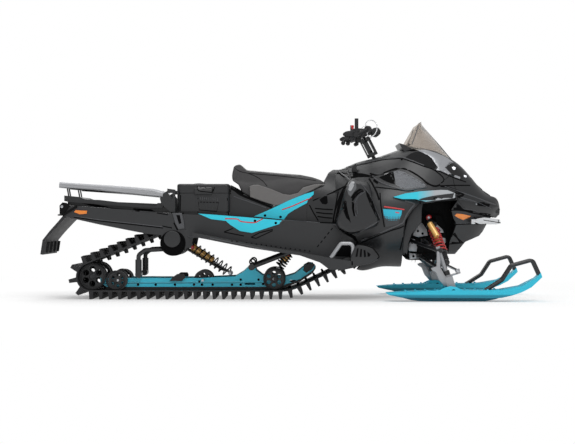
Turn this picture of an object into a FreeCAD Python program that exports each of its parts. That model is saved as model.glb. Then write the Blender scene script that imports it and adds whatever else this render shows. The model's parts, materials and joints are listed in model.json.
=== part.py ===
import FreeCAD, Part
import math
import os
from FreeCAD import Vector

# A utility snowmobile, in millimetres: +X forward, +Y to the rider's left, +Z up.
# The ground is at height zero and the vehicle is centred on X and Y.

# Fits shared by many pieces
seat_gap = 0.4
panel_gap = 3.0
pin_clearance = 0.5
overrun = 20.0

# Track and the wheels it runs on
track_width = 600.0
centre_lug_width = 200.0
belt_thickness = 9.0
lug_height = 51.0
lug_base = 30.0
lug_tip = 15.0
lug_pitch = 64.0
lug_channel = 14.0
drive_lug_height = 28.0
drive_lug_base = 22.0
drive_lug_tip = 12.0
drive_lug_y = 24.0
drive_lug_width = 36.0
rear_idler_radius = 92.0
rear_idler_x = -1338.0
drive_x = 351.0
drive_z = 323.0
drive_radius = 92.0
upper_idler_x = -780.0
upper_idler_z = 381.0
upper_idler_radius = 88.0
rail_bend_x = -60.0
rail_bend_radius = 315.0

# Skid frame under the tunnel
rail_length = 1480.0
rail_rear_x = -1290.0
rail_low_z = 79.0
rail_height = 160.0
rail_thickness = 14.0
rail_track_y = 165.0
shoe_height = 18.0
shoe_width = 30.0
wheel_width = 24.0
wheel_bore = 9.0
wheel_track_y = 214.0
inner_wheel_y = 112.0
small_wheel_radius = 66.0
front_wheel_radius = 74.0
wheel_rim = 16.0
wheel_web = 6.0
wheel_window_count = 6
hub_radius = 24.0
axle_radius = 8.5
arm_tube_radius = 15.0
arm_y = 250.0
sleeve_radius = 22.0
shock_body_radius = 24.0
shock_rod_radius = 7.0
spring_radius = 36.0
spring_wire = 6.0
spring_pitch = 19.0
shock_eye_radius = 17.0
shock_eye_width = 26.0

# Tunnel and running boards
tunnel_rear_x = -1515.0
tunnel_low_z = 240.0
tunnel_length = 2045.0
tunnel_height = 400.0
tunnel_half_width = 324.0
sheet = 3.0
board_outer_y = 478.0
board_sheet = 4.0
board_hole_radius = 17.0
board_hole_pitch = 62.0
toe_hold_radius = 13.0
toe_hold_y = 455.0

# Rear rack, flap and lamps
rack_rear_x = -1520.0
rack_low_z = 620.0
rack_length = 670.0
rack_height = 90.0
rack_half_width = 286.0
rack_slot_width = 46.0
rack_slot_pitch = 96.0
rail_tube_radius = 17.0
rack_rail_y = 290.0
rack_rail_rear_x = -1545.0
rack_rail_front_x = -850.0
rack_rail_rear_z = 779.0
rack_rail_front_z = 708.0
rack_corner_radius = 95.0
post_radius = 5.0
flap_rear_x = -1677.0
flap_low_z = 300.0
flap_length = 220.0
flap_height = 250.0
hitch_hole_radius = 9.0
hitch_plate = 10.0
hitch_length = 70.0
hitch_width = 90.0
tail_lamp_width = 260.0
tail_lamp_height = 34.0
tail_lamp_depth = 22.0
reflector_length = 88.0
reflector_height = 30.0
reflector_depth = 6.0

# Cargo box
box_rear_x = -757.0
box_front_x = -400.0
box_low_z = 596.0
box_top_z = 784.0
box_half_width = 262.0
box_wall = 5.0
box_skirt_depth = 45.0
box_corner_radius = 28.0
lid_height = 62.0
lid_range_pin = 6.0
latch_length = 120.0
latch_height = 44.0
latch_depth = 14.0

# Seat
seat_rear_x = -395.0
seat_low_z = 620.0
seat_length = 650.0
seat_height = 305.0
cushion_half_width = 190.0
cushion_top_half_width = 148.0
seat_panel_depth = 12.0
seat_base_half_width = 203.0

# Body shell
body_rear_x = 190.0
body_low_z = 204.0
body_length = 1280.0
body_height = 820.0
body_half_width = 395.0
body_wall = 6.0
cover_depth = 46.0
cover_half_width = 432.0
wing_half_width = 452.0
accent_thickness = 4.0
mesh_depth = 7.0
tunnel_room = 22.0

# Windshield and dash
windshield_front_x = 1200.0
windshield_rear_x = 800.0
windshield_front_z = 880.0
windshield_rear_z = 1046.0
windshield_top_x = 918.0
windshield_top_rear_x = 888.0
windshield_top_z = 1216.0
windshield_half_width = 204.0
windshield_top_half_width = 205.0
windshield_thickness = 4.0
pod_length = 130.0
pod_rear_x = 760.0
pod_low_z = 1024.0
pod_height = 40.0

# Engine and front frame
engine_low_z = 300.0
engine_height = 300.0
engine_half_width = 190.0
frame_rear_x = 800.0
frame_front_x = 1092.0
frame_low_z = 262.0
frame_top_z = 590.0
frame_half_width = 130.0
frame_wall = 14.0

# Front suspension, given for the left side
ball_y = 500.0
lower_ball_x = 1050.0
lower_ball_z = 185.0
upper_ball_x = 1002.0
upper_ball_z = 332.0
kingpin_radius = 13.0
arm_eye_radius = 24.0
arm_eye_height = 30.0
front_arm_radius = 12.0
front_barrel_radius = 16.0
lower_pivot_rear_x = 900.0
lower_pivot_front_x = 1068.0
lower_pivot_z = 292.0
upper_pivot_rear_x = 826.0
upper_pivot_front_x = 930.0
upper_pivot_z = 402.0
front_shock_top_x = 961.0
front_shock_top_y = 200.0
front_shock_top_z = 553.0
front_shock_low_x = 1060.0
front_shock_low_y = 398.0
front_shock_low_z = 254.0
front_spring_radius = 35.0
front_spring_wire = 7.0
front_spring_pitch = 26.0

# Ski
ski_y = 535.0
ski_rear_x = 645.0
ski_length = 1032.0
ski_height = 190.0
ski_half_width = 92.0
ski_spine_half_width = 36.0
ski_rim = 16.0
ski_floor = 14.0
keel_half_width = 26.0
saddle_x = 1090.0
saddle_z = 70.0
saddle_bolt_radius = 8.0
saddle_ear_thickness = 8.0
saddle_ear_radius = 24.0
tongue_half_width = 22.0
loop_radius = 12.5
loop_half_width = 55.0

# Steering
column_x = 600.0
column_z = 965.0
column_lean = 27.0
column_radius = 13.0
column_length = 270.0
riser_low = 20.0
riser_height = 140.0
riser_width = 62.0
riser_depth = 76.0
bar_radius = 11.0
bar_rise = 116.0
bar_half_width = 372.0
bar_setback = 60.0
grip_radius = 17.0
grip_length = 125.0
hook_height = 108.0
lever_length = 96.0
guard_ahead = 80.0
guard_radius = 8.0
guard_block_radius = 21.0
steer_arm_length = 76.0
steer_arm_width = 30.0
tie_rod_radius = 9.0
tie_rod_end_radius = 16.0
tie_link_x = 1076.0
tie_link_y = 70.0
tie_link_z = 236.0


# Basic forms

def place(x, z, y=0.0):
    return Vector(x, y, z)


def outline(shares, rear_x, low_z, length, height):
    """Side outline whose points are shares of a box's length and height."""
    return [place(rear_x + u * length, low_z + v * height) for u, v in shares]


def body_outline(shares):
    return outline(shares, body_rear_x, body_low_z, body_length, body_height)


def tunnel_outline(shares):
    return outline(shares, tunnel_rear_x, tunnel_low_z, tunnel_length, tunnel_height)


def prism(points, y_low, y_high):
    """Solid between two Y planes with a straight-edged side outline."""
    moved = [Vector(p.x, y_low, p.z) for p in points]
    face = Part.Face(Part.makePolygon(moved + moved[:1]))
    return face.extrude(Vector(0, y_high - y_low, 0))


def block(x_low, x_high, y_low, y_high, z_low, z_high):
    corner = Vector(x_low, y_low, z_low)
    return Part.makeBox(x_high - x_low, y_high - y_low, z_high - z_low, corner)


def rod(start, end, radius):
    return Part.makeCylinder(radius, (end - start).Length, start, end - start)


def cross_rod(x, z, y_low, y_high, radius):
    return rod(Vector(x, y_low, z), Vector(x, y_high, z), radius)


def bent_tube(points, radius, bend):
    """Round tube along straight runs joined by tangent arcs."""
    pieces = []
    start = points[0]
    for before, corner, after in zip(points, points[1:], points[2:]):
        back = (before - corner).normalize()
        ahead = (after - corner).normalize()
        half_angle = back.getAngle(ahead) / 2
        trim = bend / math.tan(half_angle)
        arc_start = corner + back * trim
        centre = corner + (back + ahead).normalize() * (bend / math.sin(half_angle))
        turn_axis = ahead.cross(back)
        sweep = 180 - math.degrees(half_angle * 2)
        disc = Part.Face(Part.Wire(Part.makeCircle(radius, arc_start, back)))
        pieces.append(rod(start, arc_start, radius))
        pieces.append(disc.revolve(centre, turn_axis, sweep))
        start = corner + ahead * trim
    pieces.append(rod(start, points[-1], radius))
    return fused(pieces[0], pieces[1:])


def mirrored(shape):
    return shape.mirror(Vector(0, 0, 0), Vector(0, 1, 0))


def both_sides(shape):
    return Part.makeCompound(list(shape.Solids) + list(mirrored(shape).Solids))


def fused(first, others):
    return first.fuse(others).removeSplitter()


def joined(shapes):
    solids = []
    for shape in shapes:
        solids.extend(shape.Solids)
    return Part.makeCompound(solids)


# Track loop

def loop_circles(grow=0.0):
    """Circles that the belt runs round, in order, as centre and radius."""
    low = lug_height + belt_thickness
    return [
        (place(rear_idler_x, low + rear_idler_radius + seat_gap), rear_idler_radius + seat_gap + grow),
        (place(rail_bend_x, low + rail_bend_radius), rail_bend_radius + grow),
        (place(drive_x, drive_z), drive_radius + seat_gap + grow),
        (place(upper_idler_x, upper_idler_z), upper_idler_radius + seat_gap + grow),
    ]


def tangent_angles(circles):
    """Heading of the straight run that leaves each circle for the next."""
    headings = []
    for index, (centre, radius) in enumerate(circles):
        following, next_radius = circles[(index + 1) % len(circles)]
        gap = following - centre
        lean = math.asin((radius - next_radius) / gap.Length)
        headings.append(math.atan2(gap.z, gap.x) + lean)
    return headings


def rim_point(centre, radius, heading):
    """Point of a circle where the belt leaves it with the given heading."""
    return place(centre.x + radius * math.sin(heading), centre.z - radius * math.cos(heading))


def loop_runs(grow=0.0):
    """Arcs and straight runs of the belt, each with its start distance."""
    circles = loop_circles(grow)
    headings = tangent_angles(circles)
    runs = []
    for index, (centre, radius) in enumerate(circles):
        arrive = headings[index - 1]
        leave = headings[index]
        while leave < arrive:
            leave += math.tau
        runs.append(("arc", centre, radius, arrive, leave))
        following, next_radius = circles[(index + 1) % len(circles)]
        start = rim_point(centre, radius, leave)
        end = rim_point(following, next_radius, headings[index])
        runs.append(("line", start, end, leave, leave))
    return runs


def run_length(run):
    if run[0] == "arc":
        return run[2] * (run[4] - run[3])
    return (run[2] - run[1]).Length


def loop_length(runs):
    return sum(run_length(run) for run in runs)


def loop_frame(runs, distance):
    """Point of the loop at a distance, and its outward direction there."""
    distance = distance % loop_length(runs)
    for run in runs:
        length = run_length(run)
        if distance > length:
            distance -= length
            continue
        if run[0] == "arc":
            heading = run[3] + distance / run[2]
            point = rim_point(run[1], run[2], heading)
        else:
            heading = run[3]
            point = run[1] + (run[2] - run[1]) * (distance / length)
        return point, place(math.sin(heading), -math.cos(heading))
    return run[2], place(math.sin(run[3]), -math.cos(run[3]))


def loop_offset(runs, distance, height):
    point, out = loop_frame(runs, distance)
    return point + out * height


def inner_wire(runs):
    edges = []
    for run in runs:
        if run[0] == "arc":
            middle = rim_point(run[1], run[2], (run[3] + run[4]) / 2)
            first = rim_point(run[1], run[2], run[3])
            last = rim_point(run[1], run[2], run[4])
            edges.append(Part.Arc(first, middle, last).toShape())
        else:
            edges.append(Part.LineSegment(run[1], run[2]).toShape())
    return Part.Wire(edges)


def lug_pitch_fitted(runs):
    """Lug pitch that divides the loop evenly."""
    length = loop_length(runs)
    return length / round(length / lug_pitch)


def lugged_outline(runs, floor, crest, base, tip):
    """Closed outline along the loop that steps from a floor to a crest at each lug."""
    pitch = lug_pitch_fitted(runs)
    points = []
    for index in range(round(loop_length(runs) / pitch)):
        middle = index * pitch
        points.append(loop_offset(runs, middle - base / 2, floor))
        points.append(loop_offset(runs, middle - tip / 2, crest))
        points.append(loop_offset(runs, middle + tip / 2, crest))
        points.append(loop_offset(runs, middle + base / 2, floor))
        points.append(loop_offset(runs, middle + pitch / 2, floor))
    return points


def lugged_ring(runs, crest, y_low, y_high):
    """Belt between two Y planes with its outer lugs in its outline."""
    outer = lugged_outline(runs, belt_thickness, crest, lug_base, lug_tip)
    inside = Part.Face(inner_wire(runs)).extrude(Vector(0, y_high - y_low, 0))
    inside.translate(Vector(0, y_low, 0))
    return prism(outer, y_low, y_high).cut(inside)


def drive_lug_ring(runs, y_low, y_high):
    """Row of drive lugs on the belt's inner face."""
    outer = lugged_outline(runs, belt_thickness / 2, belt_thickness / 2, drive_lug_base, drive_lug_tip)
    inner = lugged_outline(runs, 0.0, -drive_lug_height, drive_lug_base, drive_lug_tip)
    return prism(outer, y_low, y_high).cut(prism(inner, y_low, y_high))


def make_track():
    runs = loop_runs()
    half = track_width / 2
    inner = centre_lug_width / 2
    crest = belt_thickness + lug_height
    rings = []
    for low, high, top in (
            (-half, -inner - lug_channel, crest), (-inner - lug_channel, -inner, belt_thickness),
            (-inner, inner, crest), (inner, inner + lug_channel, belt_thickness),
            (inner + lug_channel, half, crest)):
        rings.append(lugged_ring(runs, top, low, high))
    for y in (drive_lug_y, -drive_lug_y - drive_lug_width):
        rings.append(drive_lug_ring(runs, y, y + drive_lug_width))
    return rings[0].fuse(rings[1:])


# Skid frame

rail_shares = (
    (0.000, 0.200), (0.000, 0.388), (0.213, 0.381), (0.466, 0.381), (0.627, 0.450), (0.673, 0.700),
    (0.695, 0.938), (0.712, 0.938), (0.724, 0.700), (0.751, 0.500), (0.857, 0.425), (0.903, 0.556),
    (0.940, 0.831), (0.981, 1.000), (0.999, 0.912), (0.985, 0.700), (0.926, 0.330), (0.857, 0.090),
    (0.830, 0.000), (0.027, 0.000),
)
rail_slot_shares = ((0.694, 0.130, 0.024), (0.893, 0.250, 0.014))
stop_shares = (
    (0.322, 0.255), (0.338, 0.426), (0.357, 0.554), (0.389, 0.554), (0.396, 0.426), (0.380, 0.255),
)
pad_shares = (
    (0.940, 0.720), (0.946, 0.900), (0.968, 1.020), (0.990, 0.990), (0.994, 0.930), (0.980, 0.740),
    (0.955, 0.610),
)
wheel_place_shares = ((0.086, 0.0), (0.477, 0.0), (0.806, 0.0))
front_pivot_share = 0.703
front_pivot_height_share = 0.86
rear_pivot_share = 0.183
rear_pivot_height_share = 0.55


def rail_point(u, v, y=0.0):
    return Vector(rail_rear_x + u * rail_length, y, rail_low_z + v * rail_height)


def make_skid_rail():
    points = outline(rail_shares, rail_rear_x, rail_low_z, rail_length, rail_height)
    rail = prism(points, rail_track_y - rail_thickness / 2, rail_track_y + rail_thickness / 2)
    low = rail_track_y - overrun
    high = rail_track_y + overrun
    cutters = [cross_rod(rear_idler_x, idler_z(), low, high, hub_radius + seat_gap)]
    for u, v, half_share in rail_slot_shares:
        half = half_share * rail_length
        centre = rail_point(u, v)
        round_radius = rail_height / 22
        cutters.append(block(centre.x - half, centre.x + half, low, high,
                             centre.z - round_radius, centre.z + round_radius))
    for axle_x, axle_z, radius in lower_axles():
        cutters.append(cross_rod(axle_x, axle_z, low, high, axle_radius + seat_gap))
    return rail.cut(cutters)


def make_rail_stops():
    """Rubber stop and end pad bolted to each rail's outer face."""
    surface = rail_track_y + rail_thickness / 2 + seat_gap
    pieces = []
    for shares in (stop_shares, pad_shares):
        points = outline(shares, rail_rear_x, rail_low_z, rail_length, rail_height)
        pieces.append(both_sides(prism(points, surface, surface + rail_thickness)))
    return joined(pieces)


def idler_z():
    return lug_height + belt_thickness + rear_idler_radius + seat_gap


def lower_axles():
    """Axles of the small wheels that ride on the belt's lower run."""
    floor = lug_height + belt_thickness + seat_gap
    places = []
    for index, (u, v) in enumerate(wheel_place_shares):
        radius = front_wheel_radius if index == len(wheel_place_shares) - 1 else small_wheel_radius
        places.append((rail_rear_x + u * rail_length, floor + radius, radius))
    return places


def make_shoe():
    low = lug_height + belt_thickness + seat_gap
    points = outline(rail_shares[-6:], rail_rear_x, rail_low_z, rail_length, rail_height)
    underside = [points[0], points[1], points[2], points[3], points[4], points[5]]
    lowered = []
    for point in reversed(underside):
        lowered.append(place(point.x, point.z - shoe_height))
    lowered[0] = place(underside[5].x, low)
    lowered[1] = place(underside[4].x, low)
    shoe = prism(underside + lowered, rail_track_y - shoe_width / 2, rail_track_y + shoe_width / 2)
    belt_path = Part.Face(inner_wire(loop_runs(-seat_gap)))
    inside = belt_path.extrude(Vector(0, tunnel_half_width, 0))
    return shoe.common(inside)


def wheel(x, z, y, radius):
    """Moulded idler wheel with a rim, a thin web and a hub."""
    half = wheel_width / 2
    profile = [
        Vector(wheel_bore, -half, 0), Vector(hub_radius, -half, 0),
        Vector(hub_radius, -wheel_web / 2, 0), Vector(radius - wheel_rim, -wheel_web / 2, 0),
        Vector(radius - wheel_rim, -half, 0), Vector(radius, -half, 0),
        Vector(radius, half, 0), Vector(radius - wheel_rim, half, 0),
        Vector(radius - wheel_rim, wheel_web / 2, 0), Vector(hub_radius, wheel_web / 2, 0),
        Vector(hub_radius, half, 0), Vector(wheel_bore, half, 0),
    ]
    face = Part.Face(Part.makePolygon(profile + profile[:1]))
    solid = face.revolve(Vector(0, 0, 0), Vector(0, 1, 0), 360)
    ring = (hub_radius + radius - wheel_rim) / 2
    window = (radius - wheel_rim - hub_radius) * 0.40
    windows = []
    for index in range(wheel_window_count):
        angle = math.tau * (index + 0.5) / wheel_window_count
        windows.append(cross_rod(ring * math.cos(angle), ring * math.sin(angle), -half, half, window))
    solid = solid.cut(windows)
    solid.translate(Vector(x, y, z))
    return solid


def make_skid_wheels():
    wheels = []
    places = [(rear_idler_x, idler_z(), rear_idler_radius)]
    places.extend(lower_axles())
    places.append((upper_idler_x, upper_idler_z, upper_idler_radius))
    for x, z, radius in places:
        if (x, radius) != (lower_axles()[1][0], small_wheel_radius):
            wheels.append(both_sides(wheel(x, z, wheel_track_y, radius)))
        if radius != front_wheel_radius:
            wheels.append(both_sides(wheel(x, z, inner_wheel_y, radius)))
    return joined(wheels)


def make_skid_axles():
    """Axles across the skid, with the upper one carried by the tunnel sides."""
    reach = wheel_track_y + wheel_width
    axles = [cross_rod(rear_idler_x, idler_z(), -reach, reach, axle_radius)]
    for x, z, radius in lower_axles():
        axles.append(cross_rod(x, z, -reach, reach, axle_radius))
    side = tunnel_half_width - sheet - seat_gap
    axles.append(cross_rod(upper_idler_x, upper_idler_z, -side, side, axle_radius))
    return joined(axles)


def rear_arm():
    """Tubes from the upper axle back and down to the rail's pivot."""
    low = rail_point(rear_pivot_share, rear_pivot_height_share)
    upper_bracket = hub_radius + arm_tube_radius
    path = [
        Vector(low.x, arm_y, low.z),
        Vector(low.x, arm_y, low.z + sleeve_radius * 6),
        Vector(low.x + sleeve_radius * 2, arm_y, low.z + sleeve_radius * 7.5),
        Vector(upper_idler_x - upper_bracket / 2, arm_y, upper_idler_z - upper_bracket),
    ]
    tube = bent_tube(path, arm_tube_radius, arm_tube_radius * 2)
    plate = cross_rod(upper_idler_x, upper_idler_z, arm_y - arm_tube_radius / 2,
                      arm_y + arm_tube_radius / 2, upper_bracket * 1.4)
    foot = cross_rod(low.x, low.z, rail_track_y + rail_thickness / 2 + seat_gap,
                     arm_y + arm_tube_radius * 1.2, sleeve_radius)
    sleeve = rod(Vector(low.x, arm_y, low.z + sleeve_radius / 3), Vector(low.x, arm_y, low.z + sleeve_radius * 4.6),
                 sleeve_radius)
    arm = fused(tube, [plate, foot, sleeve])
    bore = cross_rod(upper_idler_x, upper_idler_z, 0, tunnel_half_width, axle_radius + seat_gap)
    return arm.cut(bore)


def front_arm():
    low = rail_point(front_pivot_share, front_pivot_height_share)
    top = Vector(drive_x - drive_radius * 3.2, arm_y, drive_z + drive_radius / 8)
    tube = rod(Vector(low.x, arm_y, low.z), top, arm_tube_radius)
    inner = rail_track_y + rail_thickness / 2 + seat_gap
    foot = cross_rod(low.x, low.z, inner, arm_y + arm_tube_radius * 1.2, sleeve_radius)
    head = cross_rod(top.x, top.z, arm_y - arm_tube_radius * 1.2, tunnel_half_width - sheet - seat_gap,
                     sleeve_radius)
    return fused(tube, [foot, head])


def make_skid_arms():
    rear = rear_arm()
    front = front_arm()
    return joined([both_sides(rear), both_sides(front)])


def coil_over(top, low, body_radius, ring_radius, wire, pitch, spring_start, spring_share):
    """Damper with its eyes, and the coils round it as rings."""
    axis = (low - top).normalize()
    length = (low - top).Length
    eye = shock_eye_radius
    body = rod(top + axis * eye * 0.7, top + axis * length * 0.55, body_radius)
    shaft = rod(top + axis * length * 0.5, low - axis * eye * 0.7, shock_rod_radius)
    across = Vector(0, 1, 0)
    eyes = []
    for point in (top, low):
        start = point - across * (shock_eye_width / 2)
        eyes.append(rod(start, start + across * shock_eye_width, eye))
    damper = fused(body, [shaft] + eyes)
    for point in (top, low):
        start = point - across * shock_eye_width
        bore = rod(start, start + across * shock_eye_width * 2, axle_radius)
        damper = damper.cut(bore)
    spring_top = top + axis * length * spring_start
    spring_length = length * spring_share
    coils = spring(spring_top, axis, spring_length, ring_radius, wire, pitch, body_radius)
    return damper, coils


def spring(start, axis, length, radius, wire, pitch, inner_radius):
    """Coil spring drawn as a ribbed sleeve: one rib for each coil."""
    count = max(3, round(length / pitch))
    step = length / count
    points = [Vector(inner_radius + pin_clearance, 0, 0)]
    for index in range(count):
        low = index * step
        points.append(Vector(radius - wire, 0, low))
        points.append(Vector(radius, 0, low + step * 0.3))
        points.append(Vector(radius, 0, low + step * 0.6))
        points.append(Vector(radius - wire, 0, low + step * 0.9))
    points.append(Vector(radius - wire, 0, length))
    points.append(Vector(inner_radius + pin_clearance, 0, length))
    face = Part.Face(Part.makePolygon(points + points[:1]))
    solid = face.revolve(Vector(0, 0, 0), Vector(0, 0, 1), 360)
    turn = FreeCAD.Rotation(Vector(0, 0, 1), axis)
    solid.Placement = FreeCAD.Placement(start, turn)
    return solid


rear_shock_shares = ((0.411, 1.75), (0.600, 0.57))
front_skid_shock_shares = ((0.880, 1.487), (0.822, 0.72))


def make_skid_shocks():
    pieces = []
    for top_shares, low_shares in (rear_shock_shares, front_skid_shock_shares):
        top = rail_point(top_shares[0], top_shares[1])
        low = rail_point(low_shares[0], low_shares[1])
        damper, coils = coil_over(top, low, shock_body_radius, spring_radius, spring_wire,
                                  spring_pitch, 0.10, 0.76)
        pieces.extend([damper, coils])
    return joined(pieces)


def make_cross_shafts():
    """Shafts between the rails that carry the dampers' eyes."""
    inner = rail_track_y - rail_thickness / 2 - seat_gap
    radius = axle_radius - seat_gap
    shafts = []
    for top_shares, low_shares in (rear_shock_shares, front_skid_shock_shares):
        low = rail_point(low_shares[0], low_shares[1])
        shafts.append(cross_rod(low.x, low.z, -inner, inner, radius))
    rear = rail_point(rear_shock_shares[0][0], rear_shock_shares[0][1])
    side = tunnel_half_width - sheet - seat_gap
    shafts.append(cross_rod(rear.x, rear.z, -side, side, radius))
    front = rail_point(front_skid_shock_shares[0][0], front_skid_shock_shares[0][1])
    side = arm_y - arm_tube_radius - seat_gap
    shafts.append(cross_rod(front.x, front.z, -side, side, radius))
    return joined(shafts)


def make_drive_axle():
    """Drive shaft with its two toothed wheels inside the belt."""
    side = tunnel_half_width - sheet - seat_gap
    shaft = cross_rod(drive_x, drive_z, -side, side, hub_radius)
    wheels = []
    for y in (inner_wheel_y, -inner_wheel_y):
        disc = cross_rod(drive_x, drive_z, y - wheel_width, y + wheel_width, drive_radius)
        notches = []
        count = 8
        for index in range(count):
            angle = math.tau * (index + 0.5) / count
            x = drive_x + drive_radius * math.cos(angle)
            z = drive_z + drive_radius * math.sin(angle)
            notches.append(cross_rod(x, z, y - wheel_width * 2, y + wheel_width * 2, wheel_rim))
        wheels.append(disc.cut(notches))
    return fused(shaft, wheels)


# Tunnel, boards and what stands on them

tunnel_side_shares = (
    (0.000, 1.000), (0.374, 0.850), (0.614, 0.785), (0.889, 0.675), (0.980, 0.600), (1.000, 0.500),
    (1.000, 0.150), (0.971, 0.000), (0.889, 0.025), (0.844, 0.055), (0.779, 0.152), (0.616, 0.278),
    (0.453, 0.443), (0.406, 0.450), (0.274, 0.510), (0.118, 0.667), (0.026, 0.770), (0.000, 0.820),
)
tunnel_top_count = 6
hanger_shares = (
    (0.320, 0.500), (0.328, 0.330), (0.350, 0.230), (0.369, 0.220), (0.399, 0.262), (0.420, 0.275),
    (0.428, 0.475),
)
board_shares = (
    (0.428, 0.463), (0.453, 0.443), (0.616, 0.278), (0.779, 0.152), (0.844, 0.035), (0.877, -0.090),
    (0.926, -0.075), (0.951, -0.013), (0.951, 0.055), (0.863, 0.125), (0.779, 0.205),
    (0.616, 0.343), (0.453, 0.510), (0.428, 0.530),
)
board_floor_shares = ((0.428, 0.530), (0.453, 0.510), (0.616, 0.343), (0.779, 0.205), (0.863, 0.125),
                      (0.951, 0.055))


def make_tunnel():
    """Folded sheet: two sides and a deck, closed round the drive shaft."""
    points = tunnel_outline(tunnel_side_shares)
    outer = prism(points, -tunnel_half_width, tunnel_half_width)
    top = points[:tunnel_top_count + 1]
    lowered = [place(top[0].x - overrun, top[0].z - sheet)]
    lowered.extend(place(p.x, p.z - sheet) for p in top[:4])
    lowered.extend(place(p.x - sheet, p.z - sheet) for p in top[4:])
    floor = tunnel_low_z - overrun - body_low_z
    under = [place(top[-1].x - sheet, floor), place(tunnel_rear_x - overrun, floor)]
    inside = prism(lowered + under, sheet - tunnel_half_width, tunnel_half_width - sheet)
    tunnel = outer.cut(inside)
    hanger = prism(tunnel_outline(hanger_shares), tunnel_half_width - sheet, tunnel_half_width)
    tunnel = fused(tunnel, list(both_sides(hanger).Solids))
    side = tunnel_half_width + overrun
    return tunnel.cut(cross_rod(drive_x, drive_z, -side, side, hub_radius + seat_gap))


def make_running_board():
    """One board: a sloping perforated floor with a turned-down outer skirt."""
    inner = tunnel_half_width + seat_gap
    floor = tunnel_outline(board_floor_shares)
    lowered = [place(p.x, p.z - board_sheet) for p in reversed(floor)]
    plate = prism(floor + lowered, inner, board_outer_y)
    skirt = prism(tunnel_outline(board_shares), board_outer_y - board_sheet, board_outer_y)
    board = plate.fuse(skirt)
    holes = []
    start = floor[1].x + board_hole_pitch
    count = int((floor[4].x - start) / board_hole_pitch)
    middle = (inner + board_outer_y) / 2
    offset = board_hole_pitch / 2
    for index in range(count):
        x = start + index * board_hole_pitch
        for y in (middle - offset, middle + offset):
            holes.append(Part.makeCylinder(board_hole_radius, tunnel_height * 2, Vector(x, y, 0)))
    return board.cut(holes).removeSplitter()


toe_hold_shares = ((0.880, 0.105), (0.913, 0.352), (0.952, 0.350), (0.952, 0.100))


def make_toe_hold():
    points = [Vector(p.x, toe_hold_y, p.z) for p in tunnel_outline(toe_hold_shares)]
    floor = tunnel_outline(board_floor_shares)
    floor_slope = (floor[5].z - floor[4].z) / (floor[5].x - floor[4].x)
    for index in (0, -1):
        height = floor[4].z + (points[index].x - floor[4].x) * floor_slope
        points[index].z = height + seat_gap
    tube = bent_tube(points, toe_hold_radius, toe_hold_radius * 2)
    lowered = [Vector(p.x, 0, p.z - overrun * 2) for p in (floor[4], floor[5])]
    start = place(floor[4].x, floor[4].z + seat_gap)
    end = place(floor[5].x + overrun, floor[5].z + overrun * floor_slope + seat_gap)
    lowered[1].x = end.x
    cutter = prism([start, end, lowered[1], lowered[0]], 0, board_outer_y + overrun)
    return tube.cut(cutter)


rack_deck_shares = (
    (0.000, 0.933), (0.154, 0.822), (0.215, 0.633), (0.358, 0.600), (0.561, 0.422), (0.764, 0.256),
    (0.925, 0.144), (0.946, 0.367), (0.997, 0.367), (0.997, 0.000), (0.776, 0.030), (0.040, 0.450),
    (0.000, 0.520),
)
rack_skirt_shares = (
    (0.030, 0.600), (0.985, 0.300), (0.990, 0.100), (1.120, 0.060), (1.120, -0.500), (0.030, -0.500),
)
rack_skirt_inset = 22.0
rack_skirt_thickness = 8.0


def rack_outline(shares):
    return outline(shares, rack_rear_x, rack_low_z, rack_length, rack_height)


def make_rear_rack():
    """Moulded deck over the tunnel with long cargo slots."""
    points = rack_outline(rack_deck_shares)
    deck = prism(points, -rack_half_width, rack_half_width)
    slots = []
    slot_length = rack_length / 3
    start = rack_rear_x + rack_length / 5
    count = int(2 * (rack_half_width - rack_slot_width) / rack_slot_pitch)
    for index in range(count):
        y = (index - (count - 1) / 2) * rack_slot_pitch
        for x in (start, start + slot_length * 1.15):
            slots.append(block(x, x + slot_length, y - rack_slot_width / 2, y + rack_slot_width / 2,
                               rack_low_z - overrun, rack_low_z + rack_height + overrun))
    deck = deck.cut(slots)
    rack = fused(deck, rack_skirts() + rack_posts())
    return rack.cut([tunnel_solid(seat_gap), rail_tube(rail_tube_radius + seat_gap)])


def rack_skirts():
    """Walls under the deck's edges, which stand on the tunnel."""
    outer = rack_half_width - rack_skirt_inset
    wall = prism(rack_outline(rack_skirt_shares), outer - rack_skirt_thickness, outer)
    return [wall, mirrored(wall)]


def rack_posts():
    """Thin posts at the rear corners that hold the rail up."""
    posts = []
    for side in (1, -1):
        for share in (0.045, 0.065):
            foot_x = rack_rear_x + rack_length * share
            head_x = foot_x - post_radius * 3
            y = side * bend_y(head_x)
            low = Vector(foot_x, y, rack_low_z + rack_height * 0.8)
            posts.append(rod(low, Vector(head_x, y, rack_rail_z(head_x)), post_radius))
    return posts


def bend_y(x):
    """Half width of the rail's centre line at a place in its rear bend."""
    ahead = rack_rail_rear_x + rack_corner_radius - x
    return rack_rail_y - rack_corner_radius + math.sqrt(rack_corner_radius ** 2 - ahead ** 2)


def tunnel_solid(grow=0.0):
    """Room taken by the closed tunnel, raised and widened by a clearance."""
    raised = []
    for p in tunnel_outline(tunnel_side_shares):
        side = 1 if p.x > drive_x else -1
        raised.append(place(p.x + side * grow, p.z + grow))
    return prism(raised, -tunnel_half_width - grow, tunnel_half_width + grow)


def rack_rail_z(x):
    share = (x - rack_rail_rear_x) / (rack_rail_front_x - rack_rail_rear_x)
    return rack_rail_rear_z + share * (rack_rail_front_z - rack_rail_rear_z)


def rail_tube(radius):
    """One tube bent round the back of the rack."""
    corners = [
        Vector(rack_rail_front_x, rack_rail_y, rack_rail_front_z),
        Vector(rack_rail_rear_x, rack_rail_y, rack_rail_rear_z),
        Vector(rack_rail_rear_x, -rack_rail_y, rack_rail_rear_z),
        Vector(rack_rail_front_x, -rack_rail_y, rack_rail_front_z),
    ]
    return bent_tube(corners, radius, rack_corner_radius)


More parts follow.
